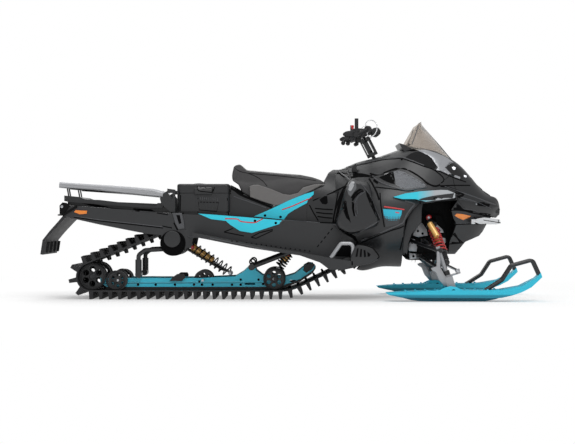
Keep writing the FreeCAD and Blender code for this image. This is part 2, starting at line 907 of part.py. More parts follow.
def rack_room():
    points = rack_outline(rack_deck_shares)
    raised = [place(p.x, p.z + seat_gap) for p in points]
    return prism(raised, -rack_half_width, rack_half_width)


bracket_shares = (
    (-0.030, 0.70), (0.000, 1.05), (0.045, 1.28), (0.045, 1.45), (0.125, 1.37), (0.125, -0.30),
    (0.075, -0.30), (-0.015, 0.30),
)
bracket_window_shares = ((0.050, 1.12), (0.100, 1.12), (0.100, 0.60))
bracket_depth = 26.0


def bracket_outline(shares):
    return outline(shares, rack_rail_front_x, rack_low_z, rack_length, rack_height)


def make_rack_brackets():
    """Cast brackets that tie the rail's front ends to the tunnel."""
    inner = rack_rail_y - bracket_depth / 2
    outer = rack_rail_y + bracket_depth / 2
    bracket = prism(bracket_outline(bracket_shares), inner, outer)
    window = prism(bracket_outline(bracket_window_shares), inner - overrun, outer + overrun)
    bracket = bracket.cut([window, tunnel_solid(seat_gap), rack_room()])
    rear = Vector(rack_rail_front_x - overrun, rack_rail_y, rack_rail_z(rack_rail_front_x - overrun))
    front = Vector(rack_rail_front_x, rack_rail_y, rack_rail_front_z)
    socket = rod(rear, front + (front - rear).normalize() * seat_gap, rail_tube_radius + seat_gap)
    bracket = bracket.cut(socket)
    largest = max(bracket.Solids, key=lambda solid: solid.Volume)
    return both_sides(largest)


flap_shares = (
    (0.760, 1.200), (0.690, 1.060), (0.562, 0.924), (0.286, 0.652), (0.068, 0.408), (0.000, 0.024),
    (0.070, 0.010), (0.125, 0.385), (0.335, 0.605), (0.610, 0.865), (0.800, 1.030), (0.860, 1.200),
)
flap_rib_shares = ((0.040, 0.040), (0.100, 0.360), (0.190, 0.350), (0.140, 0.060))
flap_rib_width = 14.0
flap_rib_count = 5


cheek_shares = (
    (0.00, 0.06), (0.00, 0.75), (0.12, 1.00), (0.95, 1.00), (1.00, 0.85), (0.72, 0.60), (0.80, 0.00),
    (0.20, 0.00),
)
cheek_inset = 6.0
cheek_length = 42.0
cheek_height = 66.0


def tail_outline(shares):
    low = tunnel_low_z + tunnel_height * tunnel_side_shares[-1][1]
    rear = tunnel_rear_x - cheek_length + hitch_plate
    return outline(shares, rear, low, cheek_length, cheek_height)


def make_snow_flap():
    """Rubber flap: one curved sheet with upright ribs on its lower front face."""
    half = tunnel_half_width - sheet - seat_gap
    points = outline(flap_shares, flap_rear_x, flap_low_z, flap_length, flap_height)
    flap = prism(points, -half, half)
    rib = outline(flap_rib_shares, flap_rear_x, flap_low_z, flap_length, flap_height)
    pitch = (2 * half - flap_rib_width) / (flap_rib_count - 1)
    ribs = []
    for index in range(flap_rib_count):
        y = index * pitch - half
        ribs.append(prism(rib, y, y + flap_rib_width))
    outer = tunnel_half_width - cheek_inset
    cheek = prism(tail_outline(cheek_shares), outer - hitch_plate, outer)
    flap = fused(flap, ribs + [cheek, mirrored(cheek)])
    side = hitch_width / 2 + hitch_plate
    low = tunnel_low_z + tunnel_height * tunnel_side_shares[-1][1] - hitch_plate
    notch = block(flap_rear_x, tunnel_rear_x + cheek_length * 2, -side, side, low, low + flap_height)
    return flap.cut(notch)


def make_tow_hitch():
    """Tow tongue under the tunnel's tail with its pin hole."""
    top = tunnel_low_z + tunnel_height * tunnel_side_shares[-1][1]
    deck = tunnel_outline(tunnel_side_shares)[:2]
    slope = (deck[0].z - deck[1].z) / (deck[1].x - deck[0].x)
    deck_low = deck[0].z - sheet - hitch_plate * slope
    half = hitch_width / 2
    plate = block(tunnel_rear_x, tunnel_rear_x + hitch_plate, -half, half, top, deck_low - seat_gap)
    tongue = block(tunnel_rear_x - hitch_length, tunnel_rear_x, -half / 2, half / 2,
                   top, top + hitch_plate)
    eye = Part.makeCylinder(half / 2, hitch_plate, Vector(tunnel_rear_x - hitch_length, 0, top))
    hitch = fused(plate, [tongue, eye])
    bore = Part.makeCylinder(hitch_hole_radius, hitch_plate * 3,
                             Vector(tunnel_rear_x - hitch_length, 0, top - hitch_plate))
    return hitch.cut(bore)


def make_tail_lamp():
    top = rack_low_z + rack_height * 0.90
    half = tail_lamp_width / 2
    lamp = block(rack_rear_x - tail_lamp_depth, rack_rear_x - seat_gap, -half, half,
                 top - tail_lamp_height, top)
    edges = [edge for edge in lamp.Edges if edge.BoundBox.XMax < rack_rear_x - tail_lamp_depth / 2]
    return lamp.makeFillet(tail_lamp_depth / 3, edges)


reflector_shares = (
    (0.00, 0.50), (0.12, 0.95), (0.60, 0.86), (1.00, 0.80), (0.97, 0.15), (0.45, 0.00),
)
tail_reflector_share = 0.033
tail_reflector_height_share = 0.840


def make_side_reflectors():
    x = tunnel_rear_x + tail_reflector_share * tunnel_length
    z = tunnel_low_z + tail_reflector_height_share * tunnel_height
    points = outline(reflector_shares, x, z, reflector_length, reflector_height)
    surface = tunnel_half_width + seat_gap
    return both_sides(prism(points, surface, surface + reflector_depth))


# Cargo box

def box_shell():
    """Outer form of the whole box, with its raised front edge rounded."""
    box = block(box_rear_x, box_front_x, -box_half_width, box_half_width, box_low_z, box_top_z)
    upright = [edge for edge in box.Edges if edge.BoundBox.ZLength > box_wall * 2]
    box = box.makeFillet(box_corner_radius, upright)
    top = [edge for edge in box.Edges if edge.BoundBox.ZMin > box_top_z - box_wall]
    return box.makeFillet(box_corner_radius / 2, top)


def box_hollow():
    box = block(box_rear_x + box_wall, box_front_x - box_wall, box_wall - box_half_width,
                box_half_width - box_wall, box_low_z + box_wall, box_top_z - box_wall)
    upright = [edge for edge in box.Edges if edge.BoundBox.ZLength > box_wall * 2]
    return box.makeFillet(box_corner_radius - box_wall, upright)


def lid_region(gap):
    """Room above the lid's seam, from the side of the seam that a gap leaves."""
    seam = box_top_z - lid_height + gap
    return block(box_rear_x - overrun, box_front_x + overrun, -box_half_width - overrun,
                 box_half_width + overrun, seam, box_top_z + overrun)


def box_ribs():
    """Upright ribs of the side recess."""
    ribs = []
    count = 7
    length = box_front_x - box_rear_x
    start = box_rear_x + length * 0.36
    pitch = length * 0.06
    for index in range(count):
        x = start + index * pitch
        ribs.append(block(x, x + pitch / 3, box_half_width - box_wall,
                          box_half_width + box_wall / 2, box_low_z + box_wall * 4,
                          box_top_z - lid_height - box_wall * 3))
    return ribs


def box_skirt():
    """Inset wall under the box's floor, which stands on the tunnel."""
    inset = box_wall * 2
    low = box_low_z - box_skirt_depth
    outer = block(box_rear_x + inset, box_front_x - inset, inset - box_half_width,
                  box_half_width - inset, low, box_low_z + box_wall)
    inset = box_wall * 3
    inner = block(box_rear_x + inset, box_front_x - inset, inset - box_half_width,
                  box_half_width - inset, low, box_low_z)
    return outer.cut(inner)


def make_cargo_box():
    box = box_shell().cut([box_hollow(), lid_region(-panel_gap)])
    ribs = both_sides(joined(box_ribs()))
    box = fused(box, list(ribs.Solids) + [box_skirt()])
    return box.cut([tunnel_solid(seat_gap), rack_room()])


def make_cargo_lid():
    lid = box_shell().cut(box_hollow()).common(lid_region(0.0))
    hinge_z = box_top_z - lid_height
    barrel = rod(Vector(box_rear_x + box_corner_radius * 2, lid_hinge_y(), hinge_z),
                 Vector(box_front_x - box_corner_radius * 2, lid_hinge_y(), hinge_z),
                 lid_range_pin)
    leaf = block(box_rear_x + box_corner_radius * 2, box_front_x - box_corner_radius * 2,
                 box_half_width, lid_hinge_y(), hinge_z, hinge_z + lid_range_pin)
    return fused(lid, [barrel, leaf])


def lid_hinge_y():
    return box_half_width + lid_range_pin * 2


def make_lid_latch():
    """Wide pull latch on the lid's near side."""
    middle = (box_rear_x + box_front_x) / 2
    top = box_top_z - box_corner_radius
    surface = -box_half_width - seat_gap
    latch = block(middle - latch_length / 2, middle + latch_length / 2, surface - latch_depth,
                  surface, top - latch_height, top)
    edges = [edge for edge in latch.Edges if edge.BoundBox.YMax < surface - latch_depth / 2]
    return latch.makeFillet(latch_depth / 3, edges)


# Seat

cushion_shares = (
    (0.015, 0.607), (0.000, 0.705), (0.015, 0.934), (0.048, 0.990), (0.091, 0.990), (0.128, 0.934),
    (0.166, 0.859), (0.305, 0.830), (0.520, 0.787), (0.734, 0.748), (0.863, 0.692), (0.992, 0.597),
    (0.995, 0.544), (0.889, 0.452), (0.732, 0.279), (0.478, 0.039), (0.415, 0.066), (0.205, 0.236),
    (0.111, 0.361), (0.078, 0.518),
)
seat_base_shares = (
    (-0.007, 0.300), (0.004, 0.310), (0.004, 0.466), (0.035, 0.459), (0.090, 0.336), (0.130, 0.300),
    (0.205, 0.400), (0.478, 0.250), (0.640, 0.350), (0.800, 0.480), (0.800, -0.350), (-0.007, -0.350),
)
seat_panel_shares = (
    (0.200, 0.482), (0.237, 0.515), (0.289, 0.521), (0.415, 0.436), (0.552, 0.315), (0.626, 0.292),
    (0.711, 0.338), (0.763, 0.459), (0.878, 0.528), (0.990, 0.538), (0.889, 0.430), (0.732, 0.262),
    (0.577, 0.096), (0.478, 0.046), (0.331, 0.148), (0.205, 0.246),
)


def seat_outline(shares):
    return outline(shares, seat_rear_x, seat_low_z, seat_length, seat_height)


def make_seat_cushion():
    """Saddle with a raised back stop, narrower along its top edge."""
    points = seat_outline(cushion_shares)
    body = prism(points, -cushion_half_width, cushion_half_width)
    top = seat_low_z + seat_height
    flank = [
        Vector(0, -cushion_half_width, seat_low_z - overrun),
        Vector(0, -cushion_half_width, seat_low_z + seat_height / 3),
        Vector(0, -cushion_top_half_width, top + overrun),
        Vector(0, cushion_top_half_width, top + overrun),
        Vector(0, cushion_half_width, seat_low_z + seat_height / 3),
        Vector(0, cushion_half_width, seat_low_z - overrun),
    ]
    section = Part.Face(Part.makePolygon(flank + flank[:1]))
    section.translate(Vector(seat_rear_x - overrun, 0, 0))
    room = section.extrude(Vector(seat_length + overrun * 2, 0, 0))
    return body.common(room)


def make_seat_base():
    base = prism(seat_outline(seat_base_shares), -seat_base_half_width, seat_base_half_width)
    base = base.cut([tunnel_solid(seat_gap), cushion_room(0.0)])
    return max(base.Solids, key=lambda solid: solid.Volume)


def cushion_room(ahead):
    """Space of the cushion and its side panels, lowered by a fit."""
    cushion = prism(seat_outline(cushion_shares), -body_half_width, body_half_width)
    side = prism(seat_outline(seat_panel_shares), cushion_half_width, body_half_width)
    below = cushion.fuse([side, mirrored(side)])
    above = cushion.copy()
    below.translate(Vector(ahead, 0, -seat_gap))
    above.translate(Vector(ahead, 0, ahead))
    return below.fuse(above)


def make_seat_panels():
    inner = cushion_half_width + seat_gap
    panel = prism(seat_outline(seat_panel_shares), inner, inner + seat_panel_depth)
    outer = [edge for edge in panel.Edges if edge.BoundBox.YMin > inner + seat_panel_depth / 2]
    return both_sides(panel.makeChamfer(seat_panel_depth / 3, outer))


# Body shell: a flowing form cut into panels along shared seams

station_shares = (0.105, 0.203, 0.336, 0.445, 0.539, 0.633, 0.711, 0.789, 0.867, 0.945, 1.000)
top_height_shares = (0.828, 0.876, 0.932, 0.985, 1.000, 0.968, 0.922, 0.842, 0.710, 0.611, 0.520)
top_width_shares = (0.228, 0.266, 0.320, 0.430, 0.500, 0.510, 0.450, 0.360, 0.253, 0.152, 0.050)
shoulder_height_shares = (0.727, 0.763, 0.800, 0.824, 0.824, 0.788, 0.745, 0.696, 0.635, 0.568,
                          0.500)
shoulder_width_shares = (0.430, 0.557, 0.671, 0.722, 0.722, 0.696, 0.646, 0.570, 0.443, 0.278,
                         0.080)
widest_height_shares = (0.483, 0.507, 0.532, 0.544, 0.556, 0.562, 0.562, 0.556, 0.532, 0.513,
                        0.485)
widest_width_shares = (0.658, 0.835, 0.987, 1.000, 0.962, 0.873, 0.759, 0.646, 0.506, 0.316, 0.090)
low_height_shares = (0.215, 0.178, 0.154, 0.141, 0.154, 0.178, 0.215, 0.263, 0.312, 0.410, 0.468)
low_width_shares = (0.684, 0.810, 0.835, 0.810, 0.734, 0.633, 0.544, 0.456, 0.354, 0.215, 0.060)
bottom_height_shares = (0.044, 0.038, 0.038, 0.038, 0.056, 0.105, 0.117, 0.154, 0.239, 0.361,
                        0.450)
bottom_width_shares = (0.456, 0.506, 0.532, 0.506, 0.456, 0.405, 0.354, 0.304, 0.228, 0.127, 0.030)


def section_wire(index, inset):
    """Closed section of the body at one station, moved inward by the inset."""
    x = body_rear_x + station_shares[index] * body_length
    levels = (
        (bottom_height_shares, bottom_width_shares, 1.0),
        (low_height_shares, low_width_shares, 0.6),
        (widest_height_shares, widest_width_shares, 0.0),
        (shoulder_height_shares, shoulder_width_shares, -0.6),
        (top_height_shares, top_width_shares, -1.0),
    )
    right = []
    for heights, widths, lift_share in levels:
        half = widths[index] * body_half_width - inset
        z = body_low_z + heights[index] * body_height + inset * lift_share
        right.append((max(half, body_wall / 4), z))
    return closed_section(x, right)


def closed_section(x, right):
    """Smooth closed section through points given for one side, from below upward."""
    points = [Vector(x, 0, right[0][1])]
    points.extend(Vector(x, -y, z) for y, z in right)
    points.append(Vector(x, 0, right[-1][1]))
    points.extend(Vector(x, y, z) for y, z in reversed(right))
    curve = Part.BSplineCurve()
    curve.interpolate(points, PeriodicFlag=True)
    return Part.Wire(curve.toShape())


def body_form(inset=0.0):
    wires = [section_wire(index, inset) for index in range(len(station_shares))]
    return Part.makeLoft(wires, True, False)


hood_seam_shares = (
    (0.100, 0.798), (0.287, 0.780), (0.361, 0.783), (0.404, 0.813), (0.446, 0.834), (0.499, 0.813),
    (0.552, 0.763), (0.605, 0.698), (0.641, 0.689),
)
hood_front_shares = ((0.641, 0.689), (0.680, 0.739), (0.723, 0.788))
lamp_low_shares = ((0.723, 0.788), (0.761, 0.768), (0.804, 0.744), (0.820, 0.762), (0.860, 0.768))
lamp_back_shares = ((0.690, 1.050), (0.669, 0.909), (0.660, 0.855))
grille_shares = (
    (0.395, 0.788), (0.427, 0.802), (0.470, 0.787), (0.523, 0.737), (0.576, 0.695), (0.570, 0.676),
    (0.480, 0.663), (0.422, 0.688),
)
lower_seam_shares = ((0.100, 0.190), (0.203, 0.234), (0.292, 0.276), (0.440, 0.357), (0.466, 0.406))
bay_shares = (
    (0.456, -0.205), (0.456, 0.327), (0.466, 0.406), (0.503, 0.489), (0.545, 0.546),
    (0.752, 0.573), (0.715, 0.490), (0.739, 0.366), (0.712, 0.216), (0.712, -0.205),
)
beak_seam_shares = ((0.752, 0.573), (0.784, 0.507), (0.875, 0.461), (1.050, 0.400))
wing_shares = (
    (0.402, 0.595), (0.465, 0.624), (0.544, 0.641), (0.648, 0.652), (0.685, 0.650), (0.722, 0.626),
    (0.743, 0.612), (0.727, 0.587), (0.648, 0.571), (0.570, 0.556), (0.517, 0.578), (0.449, 0.578),
)
bulge_shares = (
    (0.175, 0.733), (0.143, 0.611), (0.127, 0.488), (0.102, 0.374), (0.121, 0.324), (0.185, 0.293),
    (0.258, 0.324), (0.321, 0.374), (0.312, 0.483), (0.290, 0.611), (0.269, 0.717), (0.227, 0.741),
)
chin_shares = (
    (0.752, 0.573), (0.784, 0.507), (0.875, 0.461), (0.945, 0.429), (0.920, 0.366), (0.902, 0.312),
    (0.882, 0.274), (0.802, 0.224), (0.749, 0.121), (0.712, 0.121), (0.712, 0.216), (0.739, 0.366),
    (0.715, 0.490),
)
console_shares = (
    (-0.130, 0.700), (-0.130, 0.300), (0.1045, 0.300), (0.1045, 0.840), (0.090, 0.828),
    (0.070, 0.805), (0.043, 0.724), (0.000, 0.700),
)
console_station_shares = (-0.130, 0.000, 0.1045)
console_width_scale = ((1.0, 0.75, 0.78, 1.00, 1.0), (1.0, 0.76, 0.79, 1.00, 1.0), (1.0, 1.0, 1.0, 1.0, 1.0))
low_share = -0.205
high_share = 1.150
front_share = 1.050
rear_share = 0.100


def body_shell():
    return body_form().cut(body_form(body_wall))


def seam_cut(shares, gap):
    """Thin wall along a seam, as wide as the gap between two panels."""
    points = body_outline(shares)
    half = gap / 2
    upper = [place(p.x, p.z + half) for p in points]
    lower = [place(p.x, p.z - half) for p in reversed(points)]
    reach = body_half_width + cover_depth * 2
    return prism(upper + lower, -reach, reach)


def region(shares):
    reach = body_half_width + cover_depth * 2
    return prism(body_outline(shares), -reach, reach)


def lamp_region():
    above = ((lamp_low_shares[-1][0], lamp_back_shares[0][1]),)
    return region(lamp_low_shares + above + lamp_back_shares)


def hood_region():
    seam = hood_seam_shares + hood_front_shares[1:]
    above = ((lamp_low_shares[0][0], high_share), (rear_share, high_share))
    return region(seam + above)


def side_region():
    top = hood_seam_shares + hood_front_shares[1:]
    nose = (beak_seam_shares[0],)
    bay = tuple(reversed(bay_shares[1:5]))
    lower = tuple(reversed(lower_seam_shares[:-1]))
    return region(top + nose + bay + lower)


def belly_region():
    below = ((bay_shares[1][0], low_share), (rear_share, low_share))
    return region(lower_seam_shares[:-1] + (bay_shares[1],) + below)


def nose_region():
    top = ((front_share, lamp_low_shares[-1][1]),) + tuple(reversed(lamp_low_shares))
    return region(top + beak_seam_shares)


def column_room():
    """Slanted bore that carries the steering column."""
    axis = column_axis()
    base = place(column_x, column_z) - axis * column_length
    return rod(base, base + axis * column_length * 2, column_radius + pin_clearance)


def track_room():
    """Clear round space for the belt where it turns round the drive shaft."""
    radius = drive_radius + belt_thickness + lug_height + tunnel_room
    half = tunnel_half_width + seat_gap
    around = cross_rod(drive_x, drive_z, -half, half, radius)
    behind = block(body_rear_x - overrun, drive_x, -half, half, 0, drive_z + radius)
    return around.fuse(behind)


def panels(shell, zone, cutters):
    piece = shell.common(zone)
    piece = piece.cut(cutters)
    return joined([solid for solid in piece.Solids if solid.Volume > body_wall ** 3 * 20])


def make_hood(shell):
    cutters = [seam_cut(hood_seam_shares + hood_front_shares[1:], panel_gap), lamp_region(),
               column_room()]
    return panels(shell, hood_region(), cutters)


def make_side_panels(shell):
    cutters = [seam_cut(hood_seam_shares + hood_front_shares[1:], panel_gap), region(grille_shares),
               nose_side_cut(), tunnel_solid(seat_gap), track_room()]
    return panels(shell, side_region(), cutters)


def nose_side_cut():
    """Upright gap between the side panels and the nose cone."""
    points = body_outline((hood_front_shares[-1], beak_seam_shares[0]))
    front = [place(p.x + panel_gap / 2, p.z) for p in points]
    rear = [place(p.x - panel_gap / 2, p.z) for p in reversed(points)]
    reach = body_half_width + cover_depth * 2
    return prism(front + rear, -reach, reach)


def make_belly_pan(shell):
    cutters = [seam_cut(lower_seam_shares, panel_gap * 2), track_room(), tunnel_solid(seat_gap),
               board_room()]
    return panels(shell, belly_region(), cutters)


def board_room():
    """Space of the two running boards, which the belly pan stays clear of."""
    points = tunnel_outline(board_shares)
    grown = [place(p.x, p.z) for p in points]
    half = prism(grown, tunnel_half_width - seat_gap, board_outer_y + seat_gap)
    return both_sides(half)


def make_nose_cone(shell):
    cutters = [seam_cut(beak_seam_shares, panel_gap), nose_side_cut(), lamp_region()]
    return panels(shell, nose_region(), cutters)


def make_nose_chin():
    """Lower nose: the body's form trimmed to a stepped keel line, hollow from behind."""
    solid = body_form().common(region(chin_shares))
    points = body_outline(chin_shares)
    centre = sum((Vector(p) for p in points), Vector(0, 0, 0)) * (1 / len(points))
    drawn = [centre + (p - centre) * 0.86 for p in points]
    shift = Vector(-body_wall * 4, 0, 0)
    inside = prism([p + shift for p in drawn], -body_half_width, body_half_width)
    chin = solid.cut(inside.common(body_form(body_wall)))
    chin = chin.cut(seam_cut(beak_seam_shares, panel_gap))
    return max(chin.Solids, key=lambda piece: piece.Volume)


def make_headlight(shell):
    inner = body_form(body_wall + panel_gap)
    lens = body_form(panel_gap / 2).cut(inner).common(lamp_region())
    edge = lamp_back_shares[1:] + lamp_low_shares
    lens = lens.cut(seam_cut(edge, panel_gap))
    return joined([solid for solid in lens.Solids if solid.Volume > body_wall ** 3 * 20])


def make_side_grilles():
    """Mesh panels set a little below the hood's side."""
    outer = body_form(panel_gap)
    skin = outer.cut(body_form(panel_gap + mesh_depth)).common(region(grille_shares))
    return joined([solid for solid in skin.Solids if solid.Volume > body_wall ** 3])


def make_side_covers():
    """Swelling knee covers over each side of the engine bay."""
    surface = cover_half_width - cover_depth
    points = body_outline(bulge_shares)
    centre = sum((Vector(p) for p in points), Vector(0, 0, 0)) * (1 / len(points))
    wires = []
    for depth_share, spread_share in ((-1.2, 1.0), (0.35, 1.0), (0.85, 0.93), (1.0, 0.82)):
        y = surface + cover_depth * depth_share
        moved = [centre + (p - centre) * spread_share for p in points]
        curve = Part.BSplineCurve()
        curve.interpolate([Vector(p.x, y, p.z) for p in moved], PeriodicFlag=True)
        wires.append(Part.Wire(curve.toShape()))
    pillow = Part.makeLoft(wires, True, True)
    pillow = pillow.cut([body_form(-seat_gap * 3), board_room(), tunnel_solid(seat_gap)])
    largest = max(pillow.Solids, key=lambda solid: solid.Volume)
    return both_sides(largest)


def make_fender_wings():
    """Narrow wings that stand out over the suspension bay."""
    points = body_outline(wing_shares)
    wing = prism(points, body_half_width / 3, wing_half_width)
    taper = [
        Vector(points[0].x, body_half_width, 0), Vector(points[3].x, wing_half_width, 0),
        Vector(points[5].x, wing_half_width - cover_depth / 2, 0),
        Vector(points[6].x + overrun, body_half_width / 2, 0),
        Vector(points[6].x + overrun, 0, 0), Vector(points[0].x - overrun, 0, 0),
    ]
    plan = Part.Face(Part.makePolygon(taper + taper[:1])).extrude(Vector(0, 0, body_height * 2))
    wing = wing.common(plan).cut(body_form(-seat_gap))
    largest = max(wing.Solids, key=lambda solid: solid.Volume)
    return both_sides(largest)


def console_wire(share, scales):
    """Section of the tank cover: the body's first section, drawn in level by level."""
    x = body_rear_x + share * body_length
    levels = (
        (bottom_height_shares[0], bottom_width_shares[0]), (low_height_shares[0], low_width_shares[0]),
        (widest_height_shares[0], widest_width_shares[0]),
        (shoulder_height_shares[0], shoulder_width_shares[0]), (top_height_shares[0], top_width_shares[0]),
    )
    right = []
    for (height, width), scale in zip(levels, scales):
        right.append((width * scale * body_half_width, body_low_z + height * body_height))
    return closed_section(x, right)


def make_console():
    """Tank cover that flows from the seat base out to the body's first section."""
    wires = []
    for share, scales in zip(console_station_shares, console_width_scale):
        wires.append(console_wire(share, scales))
    body = Part.makeLoft(wires, True, False)
    body = body.common(region(console_shares))
    body = body.cut([tunnel_solid(seat_gap), seat_room(), accent_room()])
    return max(body.Solids, key=lambda solid: solid.Volume)


def seat_room():
    base = prism(seat_outline(seat_base_shares), -body_half_width, body_half_width)
    base.translate(Vector(seat_gap, 0, 0))
    return cushion_room(seat_gap).fuse(base)


def accent_room():
    """Space outside the upper colour plates, which the tank cover leaves free."""
    side = prism(seat_outline(upper_accent_shares), seat_base_half_width, body_half_width)
    return both_sides(side)


upper_accent_shares = (
    (0.247, -0.190), (0.437, -0.013), (0.626, 0.180), (0.785, 0.315), (0.878, 0.370), (0.874, 0.300),
    (0.815, 0.190), (0.805, 0.111), (0.668, -0.046), (0.605, -0.134), (0.563, -0.259),
)
lower_accent_shares = (
    (0.443, 0.852), (0.499, 0.832), (0.614, 0.785), (0.724, 0.735), (0.711, 0.675), (0.621, 0.525),
    (0.581, 0.558), (0.548, 0.668), (0.535, 0.728), (0.486, 0.758),
)


def make_accent_plates():
    """Coloured plates beside the seat base and on the tunnel's side."""
    inner = seat_base_half_width + seat_gap
    upper = prism(seat_outline(upper_accent_shares), inner, inner + accent_thickness)
    side = tunnel_half_width + seat_gap
    lower = prism(tunnel_outline(lower_accent_shares), side, side + accent_thickness)
    upper = upper.cut([tunnel_solid(seat_gap), body_form(-seat_gap)])
    largest = max(upper.Solids, key=lambda solid: solid.Volume)
    return joined([both_sides(largest), both_sides(lower)])


# Windshield and dash

bow_shares = ((0.00, 1.00), (0.40, 1.00), (0.76, 0.66), (1.00, 0.00))


def bow_curve(rear_x, front_x, rear_z, front_z, half_width):
    """Flowing curve round the front of the screen, in one sloping plane."""
    slope = (rear_z - front_z) / (front_x - rear_x)
    length = front_x - rear_x
    left = []
    for u, w in bow_shares:
        left.append(Vector(rear_x + u * length, w * half_width, rear_z - u * length * slope))
    right = [Vector(p.x, -p.y, p.z) for p in reversed(left[:-1])]
    curve = Part.BSplineCurve()
    curve.interpolate(left + right)
    return curve.toShape()


def bow_wire(rear_x, front_x, rear_z, front_z, half_width):
    slope = (rear_z - front_z) / (front_x - rear_x)
    thick = windshield_thickness
    outer = bow_curve(rear_x, front_x, rear_z, front_z, half_width)
    inner = bow_curve(rear_x, front_x - thick, rear_z, front_z + thick * slope, half_width - thick)
    ends = []
    for index in (0, -1):
        ends.append(Part.LineSegment(outer.Vertexes[index].Point, inner.Vertexes[index].Point).toShape())
    return Part.Wire([outer, ends[1], inner, ends[0]])


def make_windshield():
    """Raked curved screen whose ends wrap back beside the dash."""
    low = bow_wire(windshield_rear_x, windshield_front_x, windshield_rear_z, windshield_front_z,
                   windshield_half_width)
    top = bow_wire(windshield_top_rear_x, windshield_top_x, windshield_top_z - overrun,
                   windshield_top_z, windshield_top_half_width)
    screen = Part.makeLoft([low, top], True, True)
    screen = screen.cut(body_form(-seat_gap))
    return max(screen.Solids, key=lambda solid: solid.Volume)


pod_shares = ((0.00, 1.00), (0.30, 0.72), (1.00, 0.10), (1.00, -0.60), (0.30, -0.60), (0.12, 0.20))


def make_gauge_pod():
    points = outline(pod_shares, pod_rear_x, pod_low_z, pod_length, pod_height)
    half = windshield_half_width - windshield_thickness - seat_gap
    pod = prism(points, -half, half)
    pod = pod.cut(body_form(-seat_gap))
    return max(pod.Solids, key=lambda solid: solid.Volume)


bumper_shares = (
    (0.828, 0.398), (0.862, 0.419), (0.900, 0.428), (0.953, 0.419), (0.990, 0.411), (0.996, 0.378),
    (0.969, 0.370), (0.873, 0.374),
)
bumper_plan_shares = ((0.815, 1.00), (0.870, 1.00), (0.996, 0.52))
bumper_half_width = 240.0
bumper_depth = 24.0


def bumper_plan(inset):
    """Plan of the bow as an upright prism, drawn in by an inset."""
    left = []
    for u, w in bumper_plan_shares:
        x = body_rear_x + u * body_length
        left.append(Vector(x - inset, w * bumper_half_width - inset, 0))
    right = [Vector(p.x, -p.y, 0) for p in reversed(left)]
    points = left + right
    return Part.Face(Part.makePolygon(points + points[:1])).extrude(Vector(0, 0, body_height))


def make_front_bumper():
    """Flattened bow round the nose with a bracket at each end into the chin."""
    side = prism(body_outline(bumper_shares), -bumper_half_width, bumper_half_width)
    bow = side.common(bumper_plan(0.0)).cut(bumper_plan(bumper_depth))
    points = body_outline(bumper_shares)
    low = points[-1].z
    high = points[0].z + bumper_depth / 2
    brackets = []
    for y in (bumper_half_width / 3, -bumper_half_width):
        brackets.append(block(points[0].x, points[0].x + bumper_depth, y, y + bumper_half_width * 2 / 3,
                              low, high))
    arms = joined(brackets).common(bumper_plan(0.0))
    bow = bow.fuse(list(arms.Solids)).cut(body_form(-seat_gap))
    return max(bow.Solids, key=lambda solid: solid.Volume)


# Engine and front frame

def make_engine():
    """Engine block between the tunnel's front wall and the cast frame."""
    rear = tunnel_rear_x + tunnel_length + seat_gap
    return block(rear, frame_rear_x - seat_gap, -engine_half_width, engine_half_width,
                 engine_low_z, engine_low_z + engine_height)


frame_side_shares = (
    (0.00, 1.36), (0.00, 0.10), (0.10, 0.00), (0.92, 0.00), (1.00, 0.12), (1.00, 1.36),
)
frame_window_shares = (
    ((0.08, 0.15), (0.34, 0.12), (0.20, 0.38)),
    ((0.45, 0.14), (0.88, 0.16), (0.66, 0.40)),
    ((0.12, 0.55), (0.30, 0.45), (0.42, 0.88), (0.36, 0.92)),
    ((0.45, 0.50), (0.62, 0.50), (0.85, 0.66), (0.66, 0.90), (0.55, 0.90)),
    ((0.05, 0.62), (0.30, 1.04), (0.05, 1.04)),
    ((0.94, 0.60), (0.94, 0.96), (0.86, 1.04), (0.50, 1.04), (0.74, 0.90)),
)


def frame_outline(shares):
    length = frame_front_x - frame_rear_x
    return outline(shares, frame_rear_x, frame_low_z, length, frame_top_z - frame_low_z)


def make_front_frame():
    """Cast frame that carries the suspension arms, the dampers and the engine."""
    outer = prism(frame_outline(frame_side_shares), -frame_half_width, frame_half_width)
    hollow = block(frame_rear_x - overrun, frame_front_x - frame_wall, frame_wall - frame_half_width,
                   frame_half_width - frame_wall, frame_low_z + frame_wall, frame_top_z - frame_wall)
    frame = outer.cut(hollow)
    floor = frame_half_width - frame_wall * 0.6
    for shares in frame_window_shares:
        pocket = prism(frame_outline(shares), floor, frame_half_width * 2)
        frame = frame.cut([pocket, mirrored(pocket)])
    bar_z = front_shock_top_z
    reach = front_shock_top_y + shock_eye_width
    bar = cross_rod(front_shock_top_x, bar_z, -reach, reach, axle_radius - seat_gap)
    half = tie_rod_end_radius
    guide = block(tie_link_x - half, tie_link_x + half, -half, half, tie_link_z - half,
                  frame_low_z + frame_wall / 2)
    bore = cross_rod(tie_link_x, tie_link_z, -half * 2, half * 2, tie_rod_radius * 1.2 + pin_clearance)
    return fused(frame, [bar, guide]).cut(bore)


casting_shares = (
    ((0.250, -0.060), (0.250, 0.500), (0.400, 0.880), (0.500, 1.000), (0.620, 0.970), (0.660, 0.900),
     (0.640, 0.720), (0.470, 0.620), (0.440, 0.480), (0.350, 0.400)),
    ((0.690, 0.960), (0.860, 0.940), (0.985, 0.700), (0.985, 0.420), (0.900, 0.440), (0.800, 0.640)),
    ((0.010, 0.160), (0.060, 0.470), (0.140, 0.480), (0.200, 0.260), (0.222, 0.220), (0.222, 0.040),
     (0.110, 0.020)),
)
casting_thickness = 11.0


